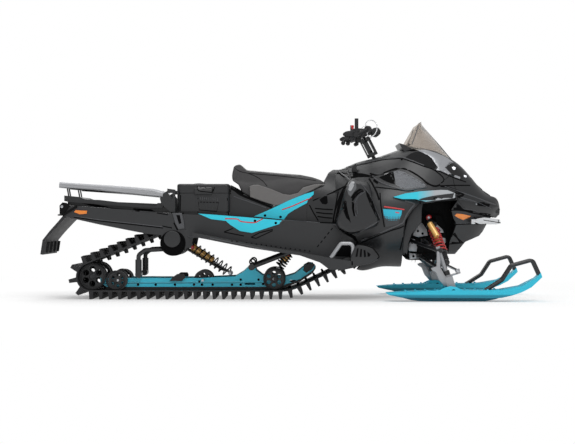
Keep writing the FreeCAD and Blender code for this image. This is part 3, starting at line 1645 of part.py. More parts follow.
def make_frame_castings():
    """Cast plates bolted to the frame's sides round the suspension pivots."""
    surface = frame_half_width + seat_gap
    room = []
    for x, z in ((lower_pivot_rear_x, lower_pivot_z), (lower_pivot_front_x, lower_pivot_z),
                 (upper_pivot_rear_x, upper_pivot_z), (upper_pivot_front_x, upper_pivot_z)):
        half = front_barrel_radius + pin_clearance
        reach = front_arm_radius * 1.6 + pin_clearance
        room.append(block(x - reach, x + reach, 0, body_half_width, z - half, z + half))
    bar = cross_rod(front_shock_top_x, front_shock_top_z, 0, body_half_width, axle_radius)
    pieces = []
    for shares in casting_shares:
        plate = prism(frame_outline(shares), surface, surface + casting_thickness)
        edges = [edge for edge in plate.Edges if edge.BoundBox.YMin > surface + casting_thickness / 2]
        plate = plate.makeChamfer(casting_thickness / 4, edges)
        plate = plate.cut(room + [bar])
        pieces.append(max(plate.Solids, key=lambda solid: solid.Volume))
    return both_sides(joined(pieces))


def kingpin_axis():
    return Vector(upper_ball_x - lower_ball_x, 0, upper_ball_z - lower_ball_z).normalize()


def eye_ring(centre, axis, radius, height, bore):
    low = centre - axis * (height / 2)
    ring = rod(low, low + axis * height, radius)
    hole = rod(low - axis * height, low + axis * height * 2, bore)
    return ring, hole


def a_arm(ball, rear_x, front_x, pivot_z):
    """Wishbone: two tubes from the frame to an eye round the kingpin."""
    axis = kingpin_axis()
    ring, hole = eye_ring(ball, axis, arm_eye_radius, arm_eye_height, kingpin_radius + pin_clearance)
    pieces = []
    for x in (rear_x, front_x):
        pivot = Vector(x, arm_pivot_y(), pivot_z)
        inward = (pivot - ball).normalize()
        pieces.append(rod(ball + inward * (arm_eye_radius * 0.6), pivot, front_arm_radius))
        barrel_half = front_arm_radius * 1.6
        start = Vector(x - barrel_half, arm_pivot_y(), pivot_z)
        pieces.append(rod(start, start + Vector(barrel_half * 2, 0, 0), front_barrel_radius))
    brace_share = 0.45
    ends = [ball + (Vector(x, arm_pivot_y(), pivot_z) - ball) * brace_share for x in (rear_x, front_x)]
    pieces.append(rod(ends[0], ends[1], front_arm_radius * 0.8))
    arm = fused(ring, pieces)
    return arm.cut(hole)


def arm_pivot_y():
    return frame_half_width + front_barrel_radius + seat_gap


def make_a_arms():
    lower = a_arm(lower_ball(), lower_pivot_rear_x, lower_pivot_front_x, lower_pivot_z)
    upper = a_arm(upper_ball(), upper_pivot_rear_x, upper_pivot_front_x, upper_pivot_z)
    return joined([both_sides(lower), both_sides(upper)])


def lower_ball():
    return Vector(lower_ball_x, ball_y, lower_ball_z)


def upper_ball():
    return Vector(upper_ball_x, ball_y, upper_ball_z)


def front_coil_over():
    top = Vector(front_shock_top_x, front_shock_top_y, front_shock_top_z)
    low = Vector(front_shock_low_x, front_shock_low_y, front_shock_low_z)
    return coil_over(top, low, shock_body_radius * 0.75, front_spring_radius, front_spring_wire,
                     front_spring_pitch, 0.19, 0.60)


# Knuckle and ski, given for the left side

def make_knuckle():
    """Spindle: a kingpin, a leg down to the ski and a forward steering arm."""
    axis = kingpin_axis()
    top = upper_ball() + axis * arm_eye_height
    low = lower_ball() - axis * (arm_eye_height * 0.9)
    pin = rod(low, top, kingpin_radius)
    cap = rod(upper_ball() + axis * (arm_eye_height * 0.64), top, kingpin_radius * 1.15)
    seat = lower_ball() - axis * (arm_eye_height / 2 + pin_clearance)
    hub_low = seat - axis * (kingpin_radius * 1.3)
    hub = rod(hub_low, seat, kingpin_radius * 1.9)
    leg_low = Vector(saddle_x, ski_y, saddle_z)
    leg_points = [
        Vector(hub_low.x - kingpin_radius * 1.9, 0, hub_low.z),
        Vector(hub_low.x + kingpin_radius * 1.9, 0, hub_low.z + kingpin_radius),
        Vector(leg_low.x + saddle_ear_radius * 0.9, 0, leg_low.z + saddle_ear_radius * 0.4),
        Vector(leg_low.x + saddle_ear_radius * 0.7, 0, leg_low.z - saddle_ear_radius * 0.5),
        Vector(leg_low.x - saddle_ear_radius * 0.7, 0, leg_low.z - saddle_ear_radius * 0.5),
        Vector(leg_low.x - saddle_ear_radius * 1.6, 0, leg_low.z + saddle_ear_radius),
    ]
    leg = prism(leg_points, ball_y - kingpin_radius, ski_y + tongue_half_width)
    foot = cross_rod(leg_low.x, leg_low.z, ski_y - tongue_half_width, ski_y + tongue_half_width,
                     saddle_ear_radius * 0.85)
    arm_start = hub_low + axis * (kingpin_radius * 0.65)
    forward = Vector(-kingpin_axis().z * -1, 0, kingpin_axis().x * -1).normalize()
    arm_end = arm_start + forward * steer_arm_length
    arm = rod(arm_end - axis * (kingpin_radius / 2), arm_end + axis * (kingpin_radius / 2),
              steer_arm_width / 2)
    link = rod(arm_start, arm_end, kingpin_radius * 0.5)
    knuckle = fused(pin, [cap, hub, leg, foot, arm, link])
    clear = block(leg_low.x - ski_height, leg_low.x + ski_height, ski_y - ski_half_width * 2,
                  ski_y - tongue_half_width, saddle_z - ski_height, saddle_z + saddle_ear_radius * 1.4)
    knuckle = knuckle.cut(clear)
    bore = cross_rod(leg_low.x, leg_low.z, 0, ski_y * 2, saddle_bolt_radius + pin_clearance)
    return knuckle.cut(bore)


def steer_arm_end():
    axis = kingpin_axis()
    hub_low = lower_ball() - axis * (arm_eye_height / 2 + pin_clearance + kingpin_radius * 1.3)
    forward = Vector(axis.z, 0, -axis.x)
    return hub_low + axis * (kingpin_radius * 0.65) + forward * steer_arm_length


ski_top_shares = (
    (0.000, 0.300), (0.092, 0.337), (0.349, 0.389), (0.439, 0.400), (0.606, 0.389), (0.734, 0.411),
    (0.862, 0.537), (0.958, 0.816), (0.990, 1.000),
)
ski_bottom_shares = (
    (1.000, 0.842), (0.926, 0.495), (0.862, 0.326), (0.797, 0.211), (0.732, 0.137), (0.670, 0.126),
    (0.092, 0.147), (0.015, 0.232),
)
keel_shares = (
    (0.082, 0.160), (0.156, 0.050), (0.207, 0.011), (0.285, 0.000), (0.635, 0.000), (0.702, 0.074),
    (0.797, 0.240), (0.770, 0.290), (0.700, 0.200), (0.120, 0.200),
)
ski_plan_shares = (
    (0.00, 0.62), (0.08, 0.90), (0.30, 1.00), (0.72, 1.00), (0.88, 0.86), (0.97, 0.55), (1.01, 0.30),
)


def ski_outline(shares):
    return outline(shares, ski_rear_x, 0.0, ski_length, ski_height)


def ski_plan(grow):
    """Plan of the ski as an upright prism, with its width changed by an amount."""
    left = []
    right = []
    for u, w in ski_plan_shares:
        x = ski_rear_x + u * ski_length
        half = w * ski_half_width + grow
        left.append(Vector(x, ski_y + half, -overrun))
        right.append(Vector(x, ski_y - half, -overrun))
    points = left + right[::-1]
    return Part.Face(Part.makePolygon(points + points[:1])).extrude(Vector(0, 0, ski_height * 2))


def make_ski():
    """Moulded ski: a dished floor between rims, a spine, a keel and saddle ears."""
    low = ski_y - ski_half_width
    high = ski_y + ski_half_width
    top = ski_outline(ski_top_shares)
    bottom = ski_outline(ski_bottom_shares)
    body = prism(top + bottom, low, high)
    floor = [place(p.x, p.z + ski_floor) for p in reversed(bottom)]
    above = [place(p.x, p.z + ski_height) for p in reversed(top)]
    trough = prism(floor + above, low - overrun, high + overrun)
    trough = trough.common(ski_plan(-ski_rim))
    spine = block(ski_rear_x - overrun, ski_rear_x + ski_length * 1.1,
                  ski_y - ski_spine_half_width, ski_y + ski_spine_half_width, 0, ski_height * 2)
    trough = trough.cut(spine)
    ski = body.common(ski_plan(0.0)).cut(trough)
    keel = prism(ski_outline(keel_shares), ski_y - keel_half_width, ski_y + keel_half_width)
    ears = []
    for side in (1, -1):
        inner = ski_y + side * (tongue_half_width + pin_clearance)
        outer = inner + side * saddle_ear_thickness
        y_low = min(inner, outer)
        y_high = max(inner, outer)
        round_ear = cross_rod(saddle_x, saddle_z, y_low, y_high, saddle_ear_radius)
        base = block(saddle_x - saddle_ear_radius * 2, saddle_x + saddle_ear_radius * 2, y_low,
                     y_high, ski_height * 0.3, saddle_z)
        ears.extend([round_ear, base])
    ski = fused(ski, [keel] + ears)
    pocket = block(saddle_x - saddle_ear_radius * 2.6, saddle_x + saddle_ear_radius * 2.2,
                   ski_y - tongue_half_width - pin_clearance, ski_y + tongue_half_width + pin_clearance,
                   saddle_z - saddle_ear_radius * 1.2, ski_height)
    bolt = cross_rod(saddle_x, saddle_z,
                     ski_y - tongue_half_width - pin_clearance - saddle_ear_thickness * 1.6,
                     ski_y + tongue_half_width + pin_clearance + saddle_ear_thickness * 1.6,
                     saddle_bolt_radius)
    return fused(ski.cut(pocket), [bolt])


loop_shares = ((0.640, 0.380), (0.745, 0.740), (0.805, 1.240), (0.940, 1.440), (0.985, 0.900))


def make_ski_loop():
    """Carrying loop: two tubes bent up from the spine and joined at the tip."""
    points = ski_outline(loop_shares)
    half = ski_spine_half_width - loop_radius
    sides = []
    for side in (1, -1):
        path = [Vector(p.x, ski_y + side * half, p.z) for p in points]
        sides.append(bent_tube(path, loop_radius, loop_radius * 2))
    bars = []
    for p in (points[2], points[4]):
        bars.append(cross_rod(p.x, p.z, ski_y - half, ski_y + half, loop_radius * 0.8))
    loop = sides[0].fuse([sides[1]] + bars)
    low = prism(ski_outline(ski_top_shares + ski_bottom_shares), ski_y - ski_half_width,
                ski_y + ski_half_width)
    low.translate(Vector(0, 0, seat_gap))
    loop = loop.cut(low)
    return max(loop.Solids, key=lambda solid: solid.Volume)


# Steering

def column_axis():
    lean = math.radians(column_lean)
    return Vector(-math.sin(lean), 0, math.cos(lean))


def column_forward():
    lean = math.radians(column_lean)
    return Vector(math.cos(lean), 0, math.sin(lean))


def column_point(along, ahead=0.0, y=0.0):
    base = place(column_x, column_z)
    return base + column_axis() * along + column_forward() * ahead + Vector(0, y, 0)


def make_steering_post():
    """Round column with a broad cast riser on top of it."""
    shaft = rod(column_point(-column_length), column_point(riser_low + riser_height / 2),
                column_radius)
    riser = Part.makeBox(riser_depth, riser_width, riser_height)
    riser.translate(Vector(-riser_depth / 2, -riser_width / 2, 0))
    upright = [edge for edge in riser.Edges if edge.BoundBox.ZLength > riser_height / 2]
    riser = riser.makeFillet(riser_width / 4, upright)
    hole = Part.makeCylinder(riser_depth / 8, riser_width * 2, Vector(0, -riser_width, riser_height / 4),
                             Vector(0, 1, 0))
    slots = []
    for share, width_share in ((-0.34, 0.085), (0.20, 0.13)):
        slot = Part.makeBox(riser_depth * width_share, riser_width * 2, riser_height * 0.62)
        slot.translate(Vector(riser_depth * (share - width_share / 2), -riser_width, riser_height * 0.16))
        slots.append(slot)
    riser = riser.cut([hole] + slots)
    turn = FreeCAD.Rotation(Vector(0, 1, 0), -column_lean)
    riser.Placement = FreeCAD.Placement(column_point(riser_low), turn).multiply(riser.Placement)
    post = fused(shaft, [riser])
    clamp = rod(column_point(bar_along(), 0, -riser_width), column_point(bar_along(), 0, riser_width),
                bar_radius + seat_gap)
    return post.cut(clamp)


def bar_along():
    return riser_low + riser_height - bar_radius * 2


def bar_path():
    """Centre line of the handlebar's left half, from the clamp to its end."""
    rise = bar_rise
    return [
        column_point(bar_along(), 0, 0),
        column_point(bar_along(), 0, riser_width),
        column_point(bar_along() + rise * 0.45, -bar_setback * 0.2, bar_half_width * 0.42),
        column_point(bar_along() + rise * 0.5, -bar_setback, bar_half_width),
    ]


def make_handlebar():
    left = bar_path()
    right = [Vector(p.x, -p.y, p.z) for p in left]
    path = list(reversed(right))[:-1] + left[1:]
    return bent_tube(path, bar_radius, bar_radius * 4)


def make_hand_controls():
    """Grips, hooked bar ends, control pods, thumb levers and hand guards."""
    path = bar_path()
    direction = (path[3] - path[2]).normalize()
    end = path[3]
    up = column_axis()
    ahead = column_forward()
    start = end - direction * grip_length
    grip = rod(start, end + direction * (grip_radius / 3), grip_radius)
    hook_low = end - direction * (grip_radius * 0.7)
    hook = rod(hook_low, hook_low + Vector(0, 0, hook_height), grip_radius * 0.75)
    pod_half = grip_radius * 1.5
    pod_centre = start - direction * pod_half
    pod = rod(pod_centre - direction * pod_half * 0.9, start + direction * grip_radius, pod_half)
    lever_root = pod_centre - ahead * (pod_half * 0.5)
    lever_tip = lever_root - ahead * (lever_length * 0.75) + up * (grip_radius * 1.3)
    lever = rod(lever_root, lever_tip, grip_radius * 0.45)
    paddle = rod(lever_tip, lever_tip + direction * (lever_length * 0.4), grip_radius * 0.5)
    switch_low = pod_centre - up * (pod_half * 1.5) - ahead * (pod_half * 0.9)
    switch = rod(switch_low - direction * pod_half * 0.5, switch_low + direction * pod_half, pod_half * 0.55)
    neck = rod(switch_low, pod_centre, pod_half * 0.4)
    control = fused(grip, [hook, pod, lever, paddle, switch, neck, hand_guard(path)])
    bore = rod(path[2], end, bar_radius + seat_gap)
    return both_sides(control.cut(bore))


def hand_guard(path):
    """Tube that runs from the control pod round the front of the grip to the bar's end."""
    direction = (path[3] - path[2]).normalize()
    ahead = column_forward()
    inner = path[3] - direction * (grip_length + grip_radius)
    outer = path[3] - direction * (grip_radius / 3)
    points = [inner, inner + ahead * guard_ahead, outer + ahead * guard_ahead, outer]
    tube = bent_tube(points, guard_radius, guard_radius * 2.5)
    middle = inner + ahead * guard_ahead + direction * (grip_length / 2)
    front = rod(middle, outer + ahead * guard_ahead - direction * guard_radius, guard_block_radius)
    return tube.fuse(front)


def make_tie_rods():
    """Centre link and the two rods out to the steering arms."""
    end = steer_arm_end() + kingpin_axis() * (kingpin_radius / 2 + tie_rod_end_radius / 2 + panel_gap)
    inner = Vector(tie_link_x, tie_link_y, tie_link_z)
    outer = end
    direction = (outer - inner).normalize()
    left = rod(inner, outer - direction * (tie_rod_end_radius * 0.5), tie_rod_radius)
    axis = kingpin_axis()
    head = rod(outer - axis * (tie_rod_end_radius / 2), outer + axis * (tie_rod_end_radius / 2),
               tie_rod_end_radius)
    side = fused(left, [head])
    link = rod(inner, Vector(tie_link_x, -tie_link_y, tie_link_z), tie_rod_radius * 1.2)
    return fused(link, [side, mirrored(side)])


def write(name, shape):
    shape.exportStep("parts/" + name + ".step")
    solids = len(shape.Solids)
    print(name, solids, "solids", round(shape.Volume / 1000), "cm3", shape.isValid())


def main():
    os.makedirs("parts", exist_ok=True)
    shell = body_shell()
    write("track", make_track())
    write("skid_rails", both_sides(make_skid_rail()))
    write("rail_stops", make_rail_stops())
    write("slide_shoes", both_sides(make_shoe()))
    write("skid_wheels", make_skid_wheels())
    write("skid_axles", joined([make_skid_axles(), make_cross_shafts()]))
    write("skid_arms", make_skid_arms())
    write("skid_shocks", make_skid_shocks())
    write("drive_axle", make_drive_axle())
    write("tunnel", make_tunnel())
    write("running_boards", both_sides(make_running_board()))
    write("toe_holds", both_sides(make_toe_hold()))
    write("rear_rack", make_rear_rack())
    write("rack_rail", rail_tube(rail_tube_radius))
    write("rack_brackets", make_rack_brackets())
    write("snow_flap", make_snow_flap())
    write("tow_hitch", make_tow_hitch())
    write("tail_lamp", make_tail_lamp())
    write("side_reflectors", make_side_reflectors())
    write("cargo_box", make_cargo_box())
    write("cargo_lid", make_cargo_lid())
    write("lid_latch", make_lid_latch())
    write("seat_cushion", make_seat_cushion())
    write("seat_base", make_seat_base())
    write("seat_panels", make_seat_panels())
    write("accent_plates", make_accent_plates())
    write("console", make_console())
    write("hood", make_hood(shell))
    write("side_panels", make_side_panels(shell))
    write("belly_pan", make_belly_pan(shell))
    write("nose_cone", make_nose_cone(shell))
    write("nose_chin", make_nose_chin())
    write("headlight", make_headlight(shell))
    write("side_grilles", make_side_grilles())
    write("side_covers", make_side_covers())
    write("fender_wings", make_fender_wings())
    write("windshield", make_windshield())
    write("gauge_pod", make_gauge_pod())
    write("front_bumper", make_front_bumper())
    write("engine", make_engine())
    write("front_frame", make_front_frame())
    write("frame_castings", make_frame_castings())
    write("a_arms", make_a_arms())
    damper, coils = front_coil_over()
    write("front_shocks", both_sides(damper))
    write("front_springs", both_sides(coils))
    knuckle = make_knuckle()
    write("knuckle_left", knuckle)
    write("knuckle_right", mirrored(knuckle))
    ski = make_ski()
    write("ski_left", ski)
    write("ski_right", mirrored(ski))
    loop = make_ski_loop()
    write("ski_loop_left", loop)
    write("ski_loop_right", mirrored(loop))
    write("steering_post", make_steering_post())
    write("handlebar", make_handlebar())
    write("hand_controls", make_hand_controls())
    write("tie_rods", make_tie_rods())


main()
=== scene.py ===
# A utility snowmobile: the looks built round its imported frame, in metres.
# +X is forward, +Y the rider's left, +Z up, and the ground is at height zero.
import json
import math

import bmesh
import bpy
from mathutils import Matrix, Vector
from mathutils.bvhtree import BVHTree

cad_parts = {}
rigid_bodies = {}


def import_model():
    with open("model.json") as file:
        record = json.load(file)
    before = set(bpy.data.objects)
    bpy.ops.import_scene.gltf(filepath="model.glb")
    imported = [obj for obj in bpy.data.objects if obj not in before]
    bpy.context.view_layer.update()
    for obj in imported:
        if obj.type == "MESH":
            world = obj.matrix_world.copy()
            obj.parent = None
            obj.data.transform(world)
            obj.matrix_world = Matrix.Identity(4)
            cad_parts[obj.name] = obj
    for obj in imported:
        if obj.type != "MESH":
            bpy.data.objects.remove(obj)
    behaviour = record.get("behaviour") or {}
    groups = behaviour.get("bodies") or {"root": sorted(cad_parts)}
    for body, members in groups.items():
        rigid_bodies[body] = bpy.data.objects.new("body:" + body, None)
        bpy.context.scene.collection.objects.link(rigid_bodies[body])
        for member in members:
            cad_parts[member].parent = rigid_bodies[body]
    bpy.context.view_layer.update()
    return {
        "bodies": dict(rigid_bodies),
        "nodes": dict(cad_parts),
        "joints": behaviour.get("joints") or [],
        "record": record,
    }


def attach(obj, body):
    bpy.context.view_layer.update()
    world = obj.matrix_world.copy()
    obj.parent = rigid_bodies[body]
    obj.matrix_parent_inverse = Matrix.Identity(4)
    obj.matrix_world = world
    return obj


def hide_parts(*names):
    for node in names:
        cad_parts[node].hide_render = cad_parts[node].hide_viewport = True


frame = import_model()
nodes = frame["nodes"]
scene = bpy.context.scene
print("frame loaded:", len(nodes), "nodes")

# Camera: level, on the right side, as far off as the picture was taken
view = {"x": -0.005, "y": -10.6, "z": 0.524, "focal": 1520.0, "width": 575, "height": 444,
        "sensor": 36.0}
eye = Vector((view["x"], view["y"], view["z"]))


def addObject(name, data):
    made = bpy.data.objects.new(name, data)
    scene.collection.objects.link(made)
    return made


def makeCamera():
    data = bpy.data.cameras.new("viewCamera")
    data.sensor_width = view["sensor"]
    data.lens = view["focal"] / view["width"] * view["sensor"]
    scene.camera = addObject("viewCamera", data)
    scene.camera.location = eye
    scene.camera.rotation_euler = (math.radians(90), 0, 0)


makeCamera()


# Node helpers: an input takes a plain value or the socket that feeds it

def feed(tree, node, values):
    for key, value in values.items():
        if isinstance(value, bpy.types.NodeSocket):
            tree.links.new(value, node.inputs[key])
        else:
            node.inputs[key].default_value = value


def addNode(tree, kind, inputs=None, **settings):
    node = tree.nodes.new(kind)
    for key, value in settings.items():
        setattr(node, key, value)
    feed(tree, node, inputs or {})
    return node


def doMath(tree, operation, *values, **settings):
    return addNode(tree, "ShaderNodeMath", dict(enumerate(values)), operation=operation,
                   **settings).outputs[0]


def objectSpace(tree):
    return addNode(tree, "ShaderNodeTexCoord").outputs["Object"]


def remap(tree, value, low, high, toLow=0.0, toHigh=1.0, **settings):
    return addNode(tree, "ShaderNodeMapRange", {
        "From Min": low, "From Max": high, "To Min": toLow, "To Max": toHigh, "Value": value,
    }, **settings).outputs[0]


def mixColours(tree, share, low, high):
    return addNode(tree, "ShaderNodeMix", {"A": linear(*low), "B": linear(*high),
                                           "Factor": share}, data_type="RGBA").outputs["Result"]


def tinted(tree, colour, share):
    return addNode(tree, "ShaderNodeVectorMath", {0: colour, "Scale": share},
                   operation="SCALE").outputs[0]


def bumpFrom(tree, height, strength, distance):
    return addNode(tree, "ShaderNodeBump", {"Strength": strength, "Distance": distance,
                                            "Height": height}).outputs["Normal"]


def useGroup(tree, group, values):
    return addNode(tree, "ShaderNodeGroup", values, node_tree=group).outputs


# Shader groups that the finishes share

def newGroup(name, inputs, outputs):
    group = bpy.data.node_groups.new(name, "ShaderNodeTree")
    for label, value in inputs.items():
        kind = "NodeSocketColor" if label == "Colour" else "NodeSocketFloat"
        group.interface.new_socket(label, in_out="INPUT", socket_type=kind).default_value = value
    for label in outputs:
        kind = "NodeSocketColor" if label == "Colour" else "NodeSocketFloat"
        group.interface.new_socket(label, in_out="OUTPUT", socket_type=kind)
    return group, group.nodes.new("NodeGroupInput").outputs, group.nodes.new("NodeGroupOutput")


def makeGrainGroup():
    # fine moulded grain plus slow blotches, both read in object space
    group, source, sink = newGroup(
        "mouldGrain", {"Colour": (0.1, 0.1, 0.1, 1), "Grain": 900.0, "Blotch": 6.0,
                       "Shift": 0.12, "Rough": 0.5, "RoughShift": 0.1},
        ("Colour", "Rough", "Height"))
    place = objectSpace(group)
    fine, slow = [addNode(group, "ShaderNodeTexNoise", {
        "Vector": place, "Scale": source[label], "Detail": detail,
    }).outputs["Fac"] for label, detail in (("Grain", 2), ("Blotch", 4))]
    centre = doMath(group, "SUBTRACT", slow, 0.5)
    factor = doMath(group, "ADD", doMath(group, "MULTIPLY", centre, source["Shift"]), 1.0)
    rough = doMath(group, "ADD", doMath(group, "MULTIPLY", centre, source["RoughShift"]),
                   source["Rough"], use_clamp=True)
    feed(group, sink, {"Colour": tinted(group, source["Colour"], factor), "Rough": rough,
                       "Height": fine})
    return group


def makeHideGroup():
    # leather-like cells for the seat cover
    group, source, sink = newGroup(
        "coverHide", {"Colour": (0.1, 0.1, 0.1, 1), "Cells": 420.0}, ("Colour", "Height"))
    place = objectSpace(group)
    cells = addNode(group, "ShaderNodeTexVoronoi", {"Vector": place, "Scale": source["Cells"]},
                    feature="DISTANCE_TO_EDGE")
    slow = addNode(group, "ShaderNodeTexNoise", {"Vector": place, "Scale": 9})
    shade = remap(group, slow.outputs["Fac"], 0, 1, 0.82, 1.15)
    feed(group, sink, {"Colour": tinted(group, source["Colour"], shade),
                       "Height": remap(group, cells.outputs["Distance"], 0, 0.12)})
    return group


def makeBrushGroup():
    # streaks drawn out along X, for drawn tube and rolled sheet
    group, source, sink = newGroup("brushedStreaks", {"Rough": 0.3, "Spread": 0.15},
                                   ("Rough", "Height"))
    stretch = addNode(group, "ShaderNodeMapping", {"Vector": objectSpace(group),
                                                   "Scale": (12, 700, 700)})
    noise = addNode(group, "ShaderNodeTexNoise", {"Vector": stretch.outputs[0],
                                                  "Scale": 1}).outputs["Fac"]
    feed(group, sink, {"Height": noise, "Rough": doMath(group, "MULTIPLY_ADD", noise,
                                                        source["Spread"], source["Rough"])})
    return group


mouldGrain = makeGrainGroup()
coverHide = makeHideGroup()
brushedStreaks = makeBrushGroup()


# Finishes; their colours are screen values from 0 to 255

def linear(red, green, blue):
    shares = (red / 255, green / 255, blue / 255)
    return (*(share / 12.92 if share <= 0.04045 else ((share + 0.055) / 1.055) ** 2.4
              for share in shares), 1.0)


def newFinish(name):
    material = bpy.data.materials.new(name)
    material.use_nodes = True
    return material, material.node_tree, material.node_tree.nodes["Principled BSDF"]


def moulded(name, colour, rough=0.5, grain=900.0, bump=0.25, metal=0.0, coat=0.0, shift=0.15,
            specular=0.5):
    material, tree, shader = newFinish(name)
    group = useGroup(tree, mouldGrain, {"Colour": linear(*colour), "Grain": grain,
                                        "Rough": rough, "Shift": shift})
    feed(tree, shader, {
        "Base Color": group["Colour"], "Roughness": group["Rough"], "Metallic": metal,
        "Coat Weight": coat, "Coat Roughness": 0.12, "Specular IOR Level": specular,
        "Normal": bumpFrom(tree, group["Height"], bump, 0.0004)})
    return material


def brushed(name, colour):
    material, tree, shader = newFinish(name)
    group = useGroup(tree, brushedStreaks, {"Rough": 0.28, "Spread": 0.2})
    feed(tree, shader, {"Base Color": linear(*colour), "Metallic": 1.0,
                        "Roughness": group["Rough"],
                        "Normal": bumpFrom(tree, group["Height"], 0.15, 0.0002)})
    return material


def cover(name, colour, rough, cells, bump):
    material, tree, shader = newFinish(name)
    group = useGroup(tree, coverHide, {"Colour": linear(*colour), "Cells": cells})
    feed(tree, shader, {"Base Color": group["Colour"], "Roughness": rough, "Sheen Weight": 0.15,
                        "Normal": bumpFrom(tree, group["Height"], bump, 0.0005)})
    return material


def fading(name, axis, start, end, first, last, rough=0.4):
    # colour that turns into another along one axis of the object's own space
    material, tree, shader = newFinish(name)
    along = addNode(tree, "ShaderNodeSeparateXYZ", {0: objectSpace(tree)}).outputs[axis]
    colour = mixColours(tree, remap(tree, along, start, end), first, last)
    group = useGroup(tree, mouldGrain, {"Colour": colour, "Grain": 800.0, "Rough": rough,
                                        "Shift": 0.1})
    feed(tree, shader, {"Base Color": group["Colour"], "Roughness": group["Rough"],
                        "Normal": bumpFrom(tree, group["Height"], 0.15, 0.0003)})
    return material


def wovenMesh(name, low, high, cells):
    # small hexagon-like holes pressed into a plate
    material, tree, shader = newFinish(name)
    holes = addNode(tree, "ShaderNodeTexVoronoi", {
        "Scale": cells, "Randomness": 0.15, "Vector": objectSpace(tree),
    }, feature="DISTANCE_TO_EDGE")
    web = remap(tree, holes.outputs["Distance"], 0.10, 0.22, 1.0, 0.0)
    feed(tree, shader, {"Base Color": mixColours(tree, web, low, high), "Roughness": 0.65,
                        "Specular IOR Level": 0.2, "Normal": bumpFrom(tree, web, 0.6, 0.001)})
    return material


def dotFade(name, start, end, low, high, pitch):
    # colour that breaks up into round dots towards its lower edge
    material, tree, shader = newFinish(name)
    place = objectSpace(tree)
    cell = addNode(tree, "ShaderNodeTexVoronoi", {"Scale": 1 / pitch, "Randomness": 0.0,
                                                  "Vector": place})
    height = addNode(tree, "ShaderNodeSeparateXYZ", {0: place}).outputs["Z"]
    inside = doMath(tree, "LESS_THAN", cell.outputs["Distance"], remap(tree, height, start, end))
    feed(tree, shader, {"Base Color": mixColours(tree, inside, low, high), "Roughness": 0.38})
    return material


def plain(name, colour, values):
    # lamp bowls that glow as a painted reflection, and glass
    material, tree, shader = newFinish(name)
    feed(tree, shader, {"Base Color": linear(*colour), **values})
    return material


def glass(name, colour, rough, transmission):
    return plain(name, colour, {"Roughness": rough, "Transmission Weight": transmission,
                                "IOR": 1.45})


